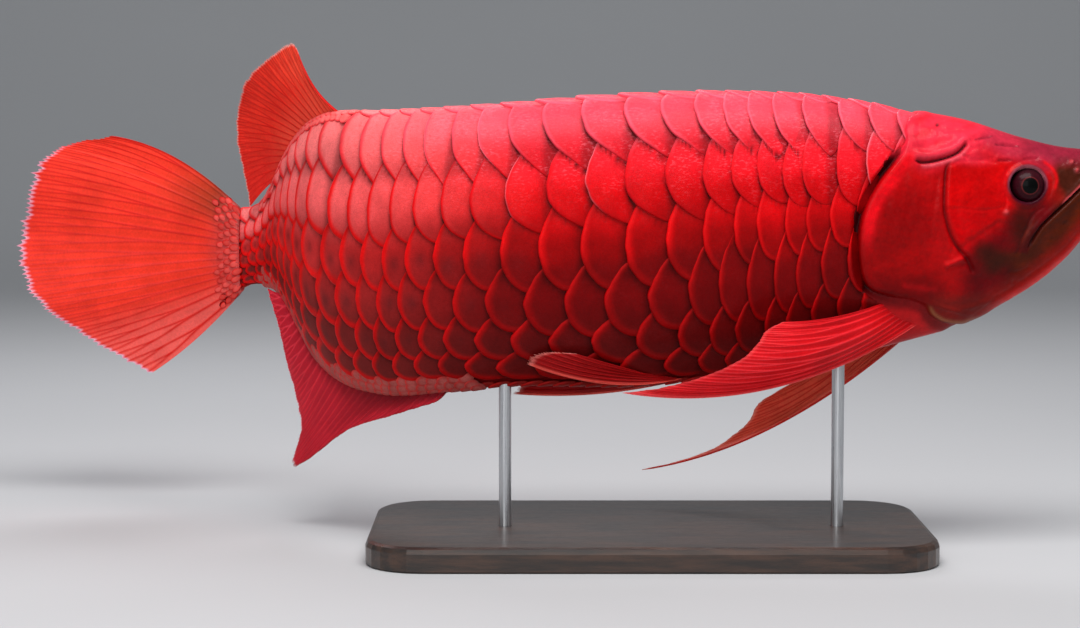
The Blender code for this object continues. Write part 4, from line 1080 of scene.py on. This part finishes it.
big_scales, crest_scales = lattice()
by_place = {(s["col"], s["row"], s["side"]): s for s in big_scales}
for s in big_scales:
    i, j, k = s["col"], s["row"], s["side"]
    keys = ((i - 1, j, k), (i, j - 1, k), (i - 1, j + 1, k), (i - 1, j - 1, k))
    s["over"] = [by_place[key] for key in keys if key in by_place]
groups = {"front": (-1e9, 430.0), "middle": (430.0, 700.0), "rear": (700.0, 1e9)}
for label, (low_t, high_t) in groups.items():
    for side, word in ((1, "right"), (-1, "left")):
        chosen = [s for s in big_scales if s["side"] == side and low_t <= column_t[s["col"]] < high_t]
        fine = 60 if label != "rear" else 44
        plates(f"scales_{word}_{label}", chosen, 190.0, 1070.0, fine, FINE)
plates("scales_back", crest_scales, 190.0, 1070.0, 56, FINE)

small_scales, keel = [], []
t = 300.0
while t < 655:
    size = 17.0
    keel.append(dict(t=t, q=1.0, side=1, size=size, high=13.0, outline=crest_leaf(), centre=(-0.75, 0.0), cell=(size, 20.0),
                     rnd=rng.random(), slope=0.0, level=-1.6, dome=0.02, up=-0.6, edge=0.15, tint=(170, 40, 34, 0.6)))
    t += size * 0.95
round_scale = ((0, 0), (-.06, .28), (-.25, .52), (-.55, .64), (-.90, .60), (-1.20, .38), (-1.30, 0),
               (-1.20, -.38), (-.90, -.60), (-.55, -.64), (-.25, -.52), (-.06, -.28))
for side in (1, -1):
    # small round scales along the roots of the dorsal and anal fins
    for lane in range(3):
        t = 640.0 + 5 * lane
        while t < 1000:
            size = mix(12.0, 8.0, (t - 640) / 360) * (1 + rng.normal(0, 0.06))
            g = 1 - (5.0 + 8.5 * lane + rng.normal(0, 0.5)) / float(girth_at(t))
            small_scales.append(dict(t=t, q=side * g, side=side, size=size, high=11.5, outline=round_scale, rnd=rng.random(),
                                     centre=(-0.62, 0.0), up=0.3 - 0.45 * lane, turn=rng.normal(0, 0.1), edge=0.24,
                                     dome=0.11, cell=(size, 8.5), tint=(206, 104, 98, 0.55)))
            t += size * 0.90
    for lane in range(2):
        t = 780.0 + 4 * lane
        while t < 1000:
            size = 10.0 * (1 + rng.normal(0, 0.08))
            g = (4.5 + 8.0 * lane + rng.normal(0, 0.5)) / float(girth_at(t))
            small_scales.append(dict(t=t, q=side * g, side=side, size=size, high=11.0, outline=round_scale, rnd=rng.random(),
                                     centre=(-0.62, 0.0), up=0.5 + 0.4 * (1 - lane), turn=rng.normal(0, 0.12), edge=0.18,
                                     dome=0.05, cell=(size, 8.0), tint=(232, 88, 84, 0.6)))
            t += size * 0.92
plates("scales_belly", keel, 190.0, 1070.0, 28, PLAIN)
plates("scales_small", small_scales, 190.0, 1070.0, 20, PLAIN)


# ================================================================ fins
def fin(name, node, roots, tips, rays, bow, ripple=0.0, waves=3.0, cells=(288, 90), branch=(0.34, 0.66),
        serration=0.018, root_half=1.5, edge_half=0.62, pleat=0.5, paint=None, slot="fin", seed=1,
        swell=0.0):
    """A fin of branching rays joined by thin skin, on the same form as its solid."""
    nq, nr = cells
    q = np.linspace(0, 1, nq + 1)[:, None]
    r = (np.linspace(0, 1, nr + 1) ** 0.92)[None, :]
    local = np.random.default_rng(seed)
    # where the rays run: each splits into two, then four
    x = q * rays
    f = np.abs(x - np.floor(x) - 0.5)
    f1 = np.abs(f - 0.25 * step(r, branch[0], branch[0] + 0.38))
    f2 = np.abs(f1 - 0.125 * step(r, branch[1], branch[1] + 0.30))
    width = mix(0.17, 0.045, step(r, 0.0, 0.8))
    ray = hill(f2, width)
    ray = np.maximum(ray, step(q, 0.012, 0.0) * 1.0)        # the first ray is the fin's stiff edge
    shape = np.interp(np.arange(nq + 1) / nq, np.linspace(0, 1, 60), local.normal(0, 1, 60))[:, None]
    notch = serration * (1 - ray) * step(r, 0.86, 1.0) + min(0.008, serration) * shape * step(r, 0.9, 1.0)
    reach = r * (1 - notch)
    root, tip = roots(q[:, 0]), tips(q[:, 0])
    out = np.array([bow(v) for v in q[:, 0]])
    grid = root[:, None] + (tip - root)[:, None] * reach[..., None] + out[:, None] * (4 * reach * (1 - reach))[..., None]
    grid[..., 1] += ripple * reach ** 1.5 * np.sin(2 * math.pi * waves * q)
    du, dv = np.gradient(grid, axis=0), np.gradient(grid, axis=1)
    normal = np.cross(du, dv)
    normal /= np.linalg.norm(normal, axis=2, keepdims=True) + 1e-9
    # smooth the normals across the rays, so that the pleats stay even
    for _ in range(3):
        normal[1:-1] = (normal[:-2] + 2 * normal[1:-1] + normal[2:]) / 4
    fold = pleat * np.sin(2 * math.pi * x + 0.4 * shape) * step(r, 0.05, 0.5) * 0.5
    grid = grid + normal * fold[..., None]
    half = mix(root_half, edge_half, r ** 0.6) * (0.58 + 0.42 * ray)
    half = half + swell * np.sin(math.pi * np.clip(q, 0.0, 1.0)) ** 0.5 * (1 - step(r, 0.0, 0.17))
    half = half * mix(1.0, 0.55, step(r, 0.96, 1.0))
    front, rear = grid + normal * half[..., None], grid - normal * half[..., None]
    n1, n2 = nq + 1, nr + 1
    index = np.arange(n1 * n2).reshape(n1, n2)
    a, b, c, d = index[:-1, :-1], index[:-1, 1:], index[1:, 1:], index[1:, :-1]
    one = np.stack([a, b, c, d], -1).reshape(-1, 4)
    two = np.stack([a, d, c, b], -1).reshape(-1, 4) + n1 * n2
    rim = np.concatenate([index[:, 0], index[-1, 1:], index[-2::-1, -1], index[0, -2:0:-1]])
    nxt = np.roll(rim, -1)
    around = np.stack([rim, nxt, nxt + n1 * n2, rim + n1 * n2], -1)
    points = np.vstack([front.reshape(-1, 3), rear.reshape(-1, 3)])
    # outward faces
    test = np.sum(np.cross(front[0, 1] - front[0, 0], front[1, 0] - front[0, 0]) * normal[0, 0])
    if test < 0:
        one, two = one[:, ::-1], two[:, ::-1]
    else:
        around = around[:, ::-1]
    tone = paint(q * np.ones_like(r), r * np.ones_like(q), ray, shape * np.ones_like(r))
    tone = np.vstack([tone.reshape(-1, 3)] * 2)
    uq, ur = (q * np.ones_like(r)).ravel(), (r * np.ones_like(q)).ravel()
    uv = np.vstack([np.stack([0.01 + 0.48 * uq, 0.01 + 0.98 * ur], -1), np.stack([0.51 + 0.48 * uq, 0.01 + 0.98 * ur], -1)])
    made = make_object(name, place(points), np.vstack([one, two, around]), None, tone,
                       {"Ray": np.tile(ray.ravel(), 2), "Reach": np.tile(ur, 2)}, uv=uv)
    return dress(made, FIN, slot, node)


def ridge(t, crest_side):
    x, y, heading, keel_z, crest_z, width = section(t)
    return np.stack([x, y, crest_z - SINK if crest_side else keel_z + SINK], -1)


def roots_between(first, last):
    a, b = seen(*first), seen(*last)
    return lambda q: a + (b - a) * np.asarray(q)[..., None]


def dorsal_paint(q, r, ray, shape):
    tone = mix(lin(236, 52, 36), lin(196, 16, 16), ray[..., None] * 0.85)
    tone = mix(tone, lin(240, 96, 72), (step(r, 0.5, 0.0) * (1 - ray) * 0.7)[..., None])
    tone = mix(tone, lin(240, 90, 62), (hill(q - 0.16, 0.14) * (1 - ray) * 0.5)[..., None])
    tone = mix(tone, lin(206, 34, 30), (step(q, 0.6, 1.0) * 0.6 * (1 - 0.5 * ray))[..., None])
    return mix(tone, lin(244, 170, 160), (step(r, 0.965, 0.995) * 0.7)[..., None])


def anal_paint(q, r, ray, shape):
    tone = mix(lin(176, 28, 44), lin(206, 40, 52), ray[..., None])
    tone = mix(tone, lin(112, 14, 24), (step(q, 0.55, 0.15) * step(r, 0.75, 0.2) * 0.9)[..., None])
    tone = mix(tone, lin(92, 10, 18), (step(r, 0.28, 0.0) * 0.6)[..., None])
    tone = mix(tone, lin(226, 64, 84), (step(q, 0.5, 0.95) * ray * 0.5)[..., None])
    return mix(tone, lin(236, 150, 160), (step(r, 0.97, 0.998) * step(q, 0.35, 0.6) * 0.8)[..., None])


def caudal_paint(q, r, ray, shape):
    tone = mix(lin(230, 54, 36), lin(190, 18, 18), ray[..., None] * 0.9)
    # painted shade on the upper part of the fin's base
    tone = mix(tone, lin(104, 56, 30), (step(q, 0.42, 0.10) * step(r, 0.55, 0.05) * 0.75)[..., None])
    tone = mix(tone, lin(236, 70, 60), (hill(q - 0.62, 0.22) * ray * 0.6)[..., None])
    # painted light: the lower lobe paler where it faces the light
    tone = mix(tone, lin(226, 120, 116), (step(q, 0.74, 0.95) * 0.45 * (1 - ray))[..., None])
    tone = mix(tone, lin(196, 84, 84), (step(r, 0.20, 0.0) * 0.7)[..., None])
    tone = mix(tone, lin(214, 168, 192), (step(r, 0.972, 0.998) * step(q, 0.05, 0.25) * 0.75)[..., None])
    return tone


def pectoral_paint(q, r, ray, shape):
    tone = mix(lin(196, 14, 22), lin(222, 26, 36), ray[..., None])
    tone = mix(tone, lin(120, 6, 14), (step(r, 0.1, 0.0) * 0.5)[..., None])
    tone = mix(tone, lin(244, 84, 88), (hill(q, 0.05) * 0.85)[..., None])
    tone = mix(tone, lin(240, 70, 78), (ray * hill(q - 0.45, 0.3) * 0.35)[..., None])
    tone = mix(tone, lin(176, 4, 8), (step(r, 0.30, 0.12) * 0.6)[..., None])
    return mix(tone, lin(240, 90, 90), (step(r, 0.965, 0.995) * 0.3)[..., None])


def pectoral_far_paint(q, r, ray, shape):
    tone = mix(lin(232, 96, 72), lin(206, 44, 36), ray[..., None] * 0.9)
    tone = mix(tone, lin(206, 40, 34), (hill(q, 0.06) * 0.8)[..., None])
    tone = mix(tone, lin(150, 22, 18), (step(r, 0.22, 0.0) * 0.7)[..., None])
    return mix(tone, lin(246, 170, 150), (step(r, 0.96, 0.995) * 0.6)[..., None])


def pelvic_paint(q, r, ray, shape):
    tone = mix(lin(134, 8, 10), lin(170, 12, 16), ray[..., None])
    tone = mix(tone, lin(240, 92, 80), (hill(q, 0.09) * 0.8)[..., None])
    return mix(tone, lin(240, 140, 130), (step(r, 0.96, 0.995) * 0.5)[..., None])


fin("fin_dorsal", "dorsal_fin",
    lambda q: ridge(DORSAL_BASE[0] + (DORSAL_BASE[1] - DORSAL_BASE[0]) * q, True),
    lambda q: seen(*along(DORSAL_TIPS, q).T), 20,
    lambda q: (-6 * (1 - q) ** 4, -3 + 2 * q, 3 - 8 * (1 - q) ** 4), 2.0, 2.0, cells=(320, 84), paint=dorsal_paint, seed=2)
fin("fin_anal", "anal_fin",
    lambda q: ridge(ANAL_BASE[0] + (ANAL_BASE[1] - ANAL_BASE[0]) * q, False),
    lambda q: seen(*along(ANAL_TIPS, q).T), 27, lambda q: (0, -3, -4 * (1 - q)), 2.0, 3.0, cells=(432, 74),
    paint=anal_paint, serration=0.03, seed=3)
tail_x, tail_y, tail_heading, tail_keel, tail_crest, _ = [float(v) for v in section(np.array(BODY_LENGTH))]
fin("fin_caudal", "caudal_fin",
    lambda q: np.stack([np.full(np.shape(q), tail_x + SINK * math.cos(tail_heading)),
                        np.full(np.shape(q), tail_y - SINK * math.sin(tail_heading)),
                        tail_crest - 3 + (tail_keel - tail_crest + 6) * np.asarray(q)], -1),
    lambda q: seen(*along(CAUDAL_TIPS, q).T), 18,
    lambda q: (0, 9, 15 * (1 - q) ** 2 - 7 * q * q), 4.0, 2.5, cells=(324, 130), paint=caudal_paint, serration=0.02, seed=4, swell=8.5)
def tail_scales():
    """Small bumpy scales that run from the tail's end out onto the tail fin."""
    local = np.random.default_rng(41)
    m, rings = 18, np.array((0.0, 0.5, 0.8, 0.95, 1.0))

    def surface(q, r):
        root = np.array([tail_x + SINK * math.cos(tail_heading), tail_y - SINK * math.sin(tail_heading),
                         tail_crest - 3 + (tail_keel - tail_crest + 6) * q])
        tip = seen(*along(CAUDAL_TIPS, q).T)
        out = np.array((0, 9, 15 * (1 - q) ** 2 - 7 * q * q))
        return root + (tip - root) * r + out * (4 * r * (1 - r))

    points, quads, tris, colours, uvs = [], [], [], [], []
    for face in (1, -1):
        for i in range(7):
            for j in range(11):
                q = (j + 0.5 * (i % 2) + 0.3) / 11.2 + local.normal(0, 0.006)
                reach = 0.024 + 0.031 * i + local.normal(0, 0.003)
                if not 0.03 < q < 0.97 or reach > 0.20 - 0.10 * math.sin(math.pi * q):
                    continue
                p = surface(q, reach)
                ahead = surface(q, reach - 0.02) - surface(q, reach + 0.02)
                ahead /= np.linalg.norm(ahead)
                across = surface(min(q + 0.02, 1), reach) - surface(max(q - 0.02, 0), reach)
                across /= np.linalg.norm(across)
                normal = np.cross(ahead, across)
                normal *= face / np.linalg.norm(normal)
                long, wide = 6.6 - 0.40 * i, 4.1 - 0.20 * i
                height = 1.0 + 8.5 * math.sin(math.pi * q) ** 0.5 * (1 - float(step(reach, 0.0, 0.17)))
                base = len(np.vstack(points)) if points else 0
                w = np.linspace(0, 2 * math.pi, m, endpoint=False)
                grid = []
                for ring in rings[1:]:
                    lift = height + 0.9 * math.sqrt(max(0.0, 1 - ring ** 2)) - 1.2 * (ring == 1.0)
                    tilt = -0.10 * np.cos(w) * long * ring
                    grid.append(p + ahead * (np.cos(w) * long * ring)[:, None] + across * (np.sin(w) * wide * ring)[:, None]
                                + normal * (lift + tilt)[:, None])
                foot = grid[-1] - normal * (height + 0.2)
                points.append(np.vstack([(p + normal * (height + 0.9))[None]] + grid + [foot, (p - normal * 0.2)[None]]))
                k, nxt = np.arange(m), (np.arange(m) + 1) % m
                for band in range(4):
                    lo, hi = base + 1 + band * m, base + 1 + (band + 1) * m
                    quads.append(np.stack([lo + k, hi + k, hi + nxt, lo + nxt], -1)[:, ::face])
                tris.append(np.stack([np.full(m, base), base + 1 + k, base + 1 + nxt], -1)[:, ::face])
                last = base + 1 + 4 * m
                tris.append(np.stack([np.full(m, base + 1 + 5 * m), last + nxt, last + k], -1)[:, ::face])
                core = mix(lin(226, 84, 78), lin(196, 56, 50), local.random())
                tone = [core, core, mix(core, lin(200, 20, 18), 0.5), lin(196, 16, 14), lin(150, 8, 8)]
                # the foot under each scale is painted at half brightness, as shade
                colours.append(np.vstack([core[None]] + [np.tile(c, (m, 1)) for c in tone[1:]] + [np.tile(tone[-1] * 0.5, (m, 1)), tone[-1][None]]))
                cu, cv = 0.02 + 0.46 * q + 0.5 * (face < 0), 0.05 + 0.9 * reach / 0.21
                flat = [np.array([[cu, cv]])] + [np.stack([cu + 0.012 * ring * np.cos(w), cv + 0.03 * ring * np.sin(w)], -1) for ring in rings[1:]]
                uvs.append(np.vstack(flat + [flat[-1], flat[0]]))
    count = len(np.vstack(points))
    made = make_object("scales_tail_fin", place(np.vstack(points)), np.vstack(quads), np.vstack(tris), np.vstack(colours),
                       {"Grain": np.full(count, 0.4), "Pale": np.zeros(count)}, uv=np.vstack(uvs))
    fix_outward(made)
    return dress(made, COAT, "skin")


fin("fin_pectoral_right", "pectoral_fin_right", roots_between((916, 325, -26), (890, 300, -34)),
    lambda q: seen(*along(PECTORAL_NEAR_TIPS, q).T), 8,
    lambda q: (0, -16 + 4 * q, -27 * (1 - q) - 4 * q), cells=(176, 150), paint=pectoral_paint, pleat=0.6, serration=0.002, seed=5)
fin("fin_pectoral_left", "pectoral_fin_left", roots_between((916, 328, 26), (890, 304, 34)),
    lambda q: seen(*along(PECTORAL_FAR_TIPS, q).T), 8,
    lambda q: (0, 14 - 4 * q, -29 * (1 - q) - 5 * q), cells=(176, 150), paint=pectoral_far_paint, pleat=0.6, serration=0.004, seed=6)
fin("fin_pelvic_right", "pelvic_fin_right", roots_between((682, 379, -8), (656, 376, -15)),
    lambda q: seen(*along(PELVIC_NEAR_TIPS, q).T), 6, lambda q: (0, -9, -11 * (1 - q)), cells=(108, 80),
    paint=pelvic_paint, pleat=0.6, seed=7)
fin("fin_pelvic_left", "pelvic_fin_left", roots_between((682, 380, 8), (656, 377, 15)),
    lambda q: seen(*along(PELVIC_FAR_TIPS, q).T), 6, lambda q: (0, 9, -8 * (1 - q)), cells=(108, 80),
    paint=pelvic_paint, pleat=0.6, seed=8)


# ================================================================ eyes
def eye_material():
    n = Nodes("eye_glossy")
    tint = n.attribute("Tint", True)
    streaks = n.noise(2600, 3, 0.6)
    colour = n.scaled(tint, n.fit(streaks, 0.3, 0.7, 0.7, 1.3))
    return n.wear(Base_Color=colour, Roughness=0.35, Coat_Weight=0.07, Coat_Roughness=0.03, Specular_IOR_Level=0.05)


EYE = eye_material()


def make_eye(name, node, sign):
    low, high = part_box(node)
    centre = np.array((low + high) / 2)
    radius = float((high - low).z) / 2
    rings, sides = 72, 72
    a = (np.linspace(0, 1, rings) ** 1.15 * math.pi)[:, None]
    b = np.linspace(0, 2 * math.pi, sides, endpoint=False)[None, :]
    # the pole looks out of the head, a little forward
    axis = np.array((0.10, sign * 1.0, 0.02))
    axis /= np.linalg.norm(axis)
    e1 = np.cross(axis, (0, 0, 1.0))
    e1 /= np.linalg.norm(e1)
    e2 = np.cross(e1, axis)
    s = np.sin(a) * np.ones_like(b)
    across = s * radius / UNIT
    points = centre + radius * (np.cos(a)[..., None] * axis + (np.sin(a) * np.cos(b))[..., None] * e1 + (np.sin(a) * np.sin(b))[..., None] * e2)
    turned = a * np.ones_like(b) > math.pi / 2
    r = np.where(turned, 99.0, across)
    tone = np.ones(r.shape + (3,)) * lin(34, 6, 12)
    streak = 0.5 + 0.5 * np.sin(b * 23 + 2 * np.sin(b * 7))
    tone = mix(tone, lin(50, 5, 16), (step(r, 8.2, 10.5) * step(r, 17, 13) * (0.55 + 0.45 * streak))[..., None])
    tone = mix(tone, lin(120, 40, 40), (hill(r - 8.4, 0.5) * 0.6)[..., None])
    tone = mix(tone, lin(2, 3, 3), (step(r, 8.2, 7.4))[..., None])
    tone = mix(tone, lin(14, 3, 6), (step(r, 14.5, 17.5))[..., None])
    index = np.arange(rings * sides).reshape(rings, sides)
    n1 = np.roll(index, -1, 1)
    quads = np.stack([index[:-1], index[1:], n1[1:], n1[:-1]], -1).reshape(-1, 4)
    if sign > 0:
        pass
    uv = np.stack([0.5 + 0.48 * (a / math.pi) * np.cos(b), 0.5 + 0.48 * (a / math.pi) * np.sin(b)], -1)
    made = make_object(name, points.reshape(-1, 3), quads, None, tone.reshape(-1, 3), uv=uv.reshape(-1, 2))
    fix_outward(made)
    return dress(made, EYE, "eye", node)


def fix_outward(obj):
    import bmesh
    bm = bmesh.new()
    bm.from_mesh(obj.data)
    bmesh.ops.remove_doubles(bm, verts=bm.verts, dist=1e-7)
    bmesh.ops.recalc_face_normals(bm, faces=bm.faces)
    if bm.calc_volume(signed=True) < 0:
        bmesh.ops.reverse_faces(bm, faces=bm.faces)
    bm.to_mesh(obj.data)
    bm.free()


make_eye("eyeball_right", "eye_right", -1)
make_eye("eyeball_left", "eye_left", 1)


tail_scales()

# ================================================================ barbels
def make_barbel(name, node, sign):
    k = np.linspace(-0.06, 1, 60)
    line = np.stack([1110 + BARBEL_LENGTH * k * (1 - 0.12 * k), sign * (9 + 16 * k * k),
                     FLOOR_V - 172 + 6 * np.sin(k * 2.6) - 16 * k * k], -1)
    radii = BARBEL_ROOT + (BARBEL_TIP - BARBEL_ROOT) * np.clip(k, 0, 1)
    radii = radii * np.where(k > 0.97, 0.75, 1.0)
    radii = radii * (1 + 0.03 * np.sin(k * 160))
    sides = 20
    way = np.gradient(line, axis=0)
    way /= np.linalg.norm(way, axis=1, keepdims=True)
    e1 = np.cross(way, (0, 1.0, 0))
    e1 /= np.linalg.norm(e1, axis=1, keepdims=True)
    e2 = np.cross(e1, way)
    turn = np.linspace(0, 2 * math.pi, sides, endpoint=False)
    points = line[:, None] + radii[:, None, None] * (np.cos(turn)[None, :, None] * e1[:, None] + np.sin(turn)[None, :, None] * e2[:, None])
    n = len(line)
    index = np.arange(n * sides).reshape(n, sides)
    nx = np.roll(index, -1, 1)
    quads = np.stack([index[:-1], index[1:], nx[1:], nx[:-1]], -1).reshape(-1, 4)
    pts = np.vstack([points.reshape(-1, 3), line[0] - way[0] * 0.5, line[-1] + way[-1] * 0.7])
    ks = np.arange(sides)
    tris = np.vstack([np.stack([np.full(sides, n * sides), ks, (ks + 1) % sides], -1),
                      np.stack([np.full(sides, n * sides + 1), (n - 1) * sides + (ks + 1) % sides, (n - 1) * sides + ks], -1)])
    tone = mix(lin(120, 26, 14), lin(206, 60, 52), np.repeat(np.clip(k, 0, 1), sides)[:, None])
    tone = np.vstack([tone, tone[:1], tone[-1:]])
    uv = np.stack([np.repeat(np.clip(k, 0, 1), sides), np.tile(turn / (2 * math.pi), n)], -1)
    uv = np.vstack([uv, [[0, 0.5]], [[1, 0.5]]])
    made = make_object(name, place(pts), quads, tris, tone, uv=uv)
    fix_outward(made)
    return dress(made, FLESH, "barbel", node)


make_barbel("barbel_skin_right", "barbel_right", -1)
make_barbel("barbel_skin_left", "barbel_left", 1)


# ================================================================ stand
def wood_material():
    n = Nodes("dark_stained_wood")
    grain = n.noise(26, 6, 0.62, stretch=(1.0, 9.0, 9.0))
    pores = n.noise(240, 3, 0.6, stretch=(1.0, 14.0, 14.0))
    colour = n.blend(lin(30, 22, 18), lin(66, 44, 32), n.fit(grain, 0.35, 0.68, 0.0, 1.0, True))
    colour = n.blend(colour, lin(14, 10, 8), n.fit(pores, 0.58, 0.74, 0.0, 0.8, True))
    rough = n.fit(pores, 0.3, 0.7, 0.30, 0.42)
    normal = n.bump(n.math("ADD", n.math("MULTIPLY", grain, 0.4), pores), 0.18, 0.0003)
    return n.wear(Base_Color=colour, Roughness=rough, Normal=normal, Coat_Weight=0.25, Coat_Roughness=0.2)


def steel_material():
    n = Nodes("brushed_steel")
    lines = n.noise(900, 3, 0.5, stretch=(1.0, 1.0, 0.04))
    colour = n.blend(lin(176, 178, 182), lin(206, 208, 210), n.fit(lines, 0.3, 0.7))
    rough = n.fit(lines, 0.3, 0.7, 0.24, 0.38)
    normal = n.bump(lines, 0.12, 0.0001)
    return n.wear(Base_Color=colour, Metallic=1.0, Roughness=rough, Normal=normal)


WOOD, STEEL = wood_material(), steel_material()
for node, material, slot in (("stand_base", WOOD, "stand_base"), ("stand_rod_front", STEEL, "stand_rod"), ("stand_rod_rear", STEEL, "stand_rod")):
    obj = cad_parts[node]
    obj.data.materials.clear()
    obj.data.materials.append(material)


# ================================================================ stage
def plain(name, rgb, rough):
    n = Nodes(name)
    cloudy = n.noise(3.0, 2)
    colour = n.blend(lin(*rgb), lin(*[min(255, c + 5) for c in rgb]), cloudy)
    return n.wear(Base_Color=colour, Roughness=rough)


def sweep_floor():
    points, faces = [], []
    width = 6.0
    profile = [(-3.0, 0.0), (1.6, 0.0)]
    for k in range(1, 17):
        a = math.pi / 2 * k / 16
        profile.append((1.6 + 0.9 * math.sin(a), 0.9 - 0.9 * math.cos(a)))
    profile.append((2.5, 4.0))
    for y, z in profile:
        points += [(-width, y, z), (width, y, z)]
    for k in range(len(profile) - 1):
        faces.append((2 * k, 2 * k + 1, 2 * k + 3, 2 * k + 2))
    mesh = bpy.data.meshes.new("floor")
    mesh.from_pydata(points, [], faces)
    mesh.polygons.foreach_set("use_smooth", np.ones(len(faces), bool))
    made = bpy.data.objects.new("floor", mesh)
    bpy.context.scene.collection.objects.link(made)
    made.data.materials.append(plain("floor_pale", (176, 178, 180), 0.85))


sweep_floor()
scene = bpy.context.scene
scene.view_settings.view_transform = "Standard"
scene.view_settings.look = "None"
world = bpy.data.worlds.new("studio")
scene.world = world
world.use_nodes = True
world.node_tree.nodes["Background"].inputs["Color"].default_value = (0.92, 0.95, 1.0, 1.0)
world.node_tree.nodes["Background"].inputs["Strength"].default_value = 0.34


def area_light(name, location, target, size, power, colour=(1, 1, 1)):
    data = bpy.data.lights.new(name, "AREA")
    data.shape = "RECTANGLE"
    data.size, data.size_y = size
    data.energy = power
    data.color = colour
    made = bpy.data.objects.new(name, data)
    made.location = location
    way = Vector(target) - Vector(location)
    made.rotation_euler = way.to_track_quat("-Z", "Y").to_euler()
    scene.collection.objects.link(made)
    return made


area_light("key", (0.06, -0.50, 1.10), (-0.02, 0.0, 0.16), (1.1, 0.5), 17.0, (1.0, 0.97, 0.96))
area_light("fill", (-0.4, -1.7, 0.60), (0.0, 0.0, 0.16), (1.6, 1.0), 9.0, (1.0, 1.0, 1.0))
area_light("rim", (-0.25, 0.85, 1.0), (-0.05, 0.05, 0.18), (0.9, 0.4), 6.0, (1.0, 0.97, 1.0))

camera_data = bpy.data.cameras.new("camera")
camera_data.sensor_width = 36.0
camera_data.lens = 36.0 * VIEW_DISTANCE / 1080.0
camera_data.clip_start, camera_data.clip_end = 0.05, 50.0
camera = bpy.data.objects.new("camera", camera_data)
camera.location = ((VIEW_U - ORIGIN_U) * UNIT,
                   (-VIEW_DISTANCE * math.cos(VIEW_RISE) - ORIGIN_Y) * UNIT,
                   (FLOOR_V - VIEW_V + VIEW_DISTANCE * math.sin(VIEW_RISE)) * UNIT)
camera.rotation_euler = (math.pi / 2 - VIEW_RISE, 0.0, 0.0)
scene.collection.objects.link(camera)
scene.camera = camera
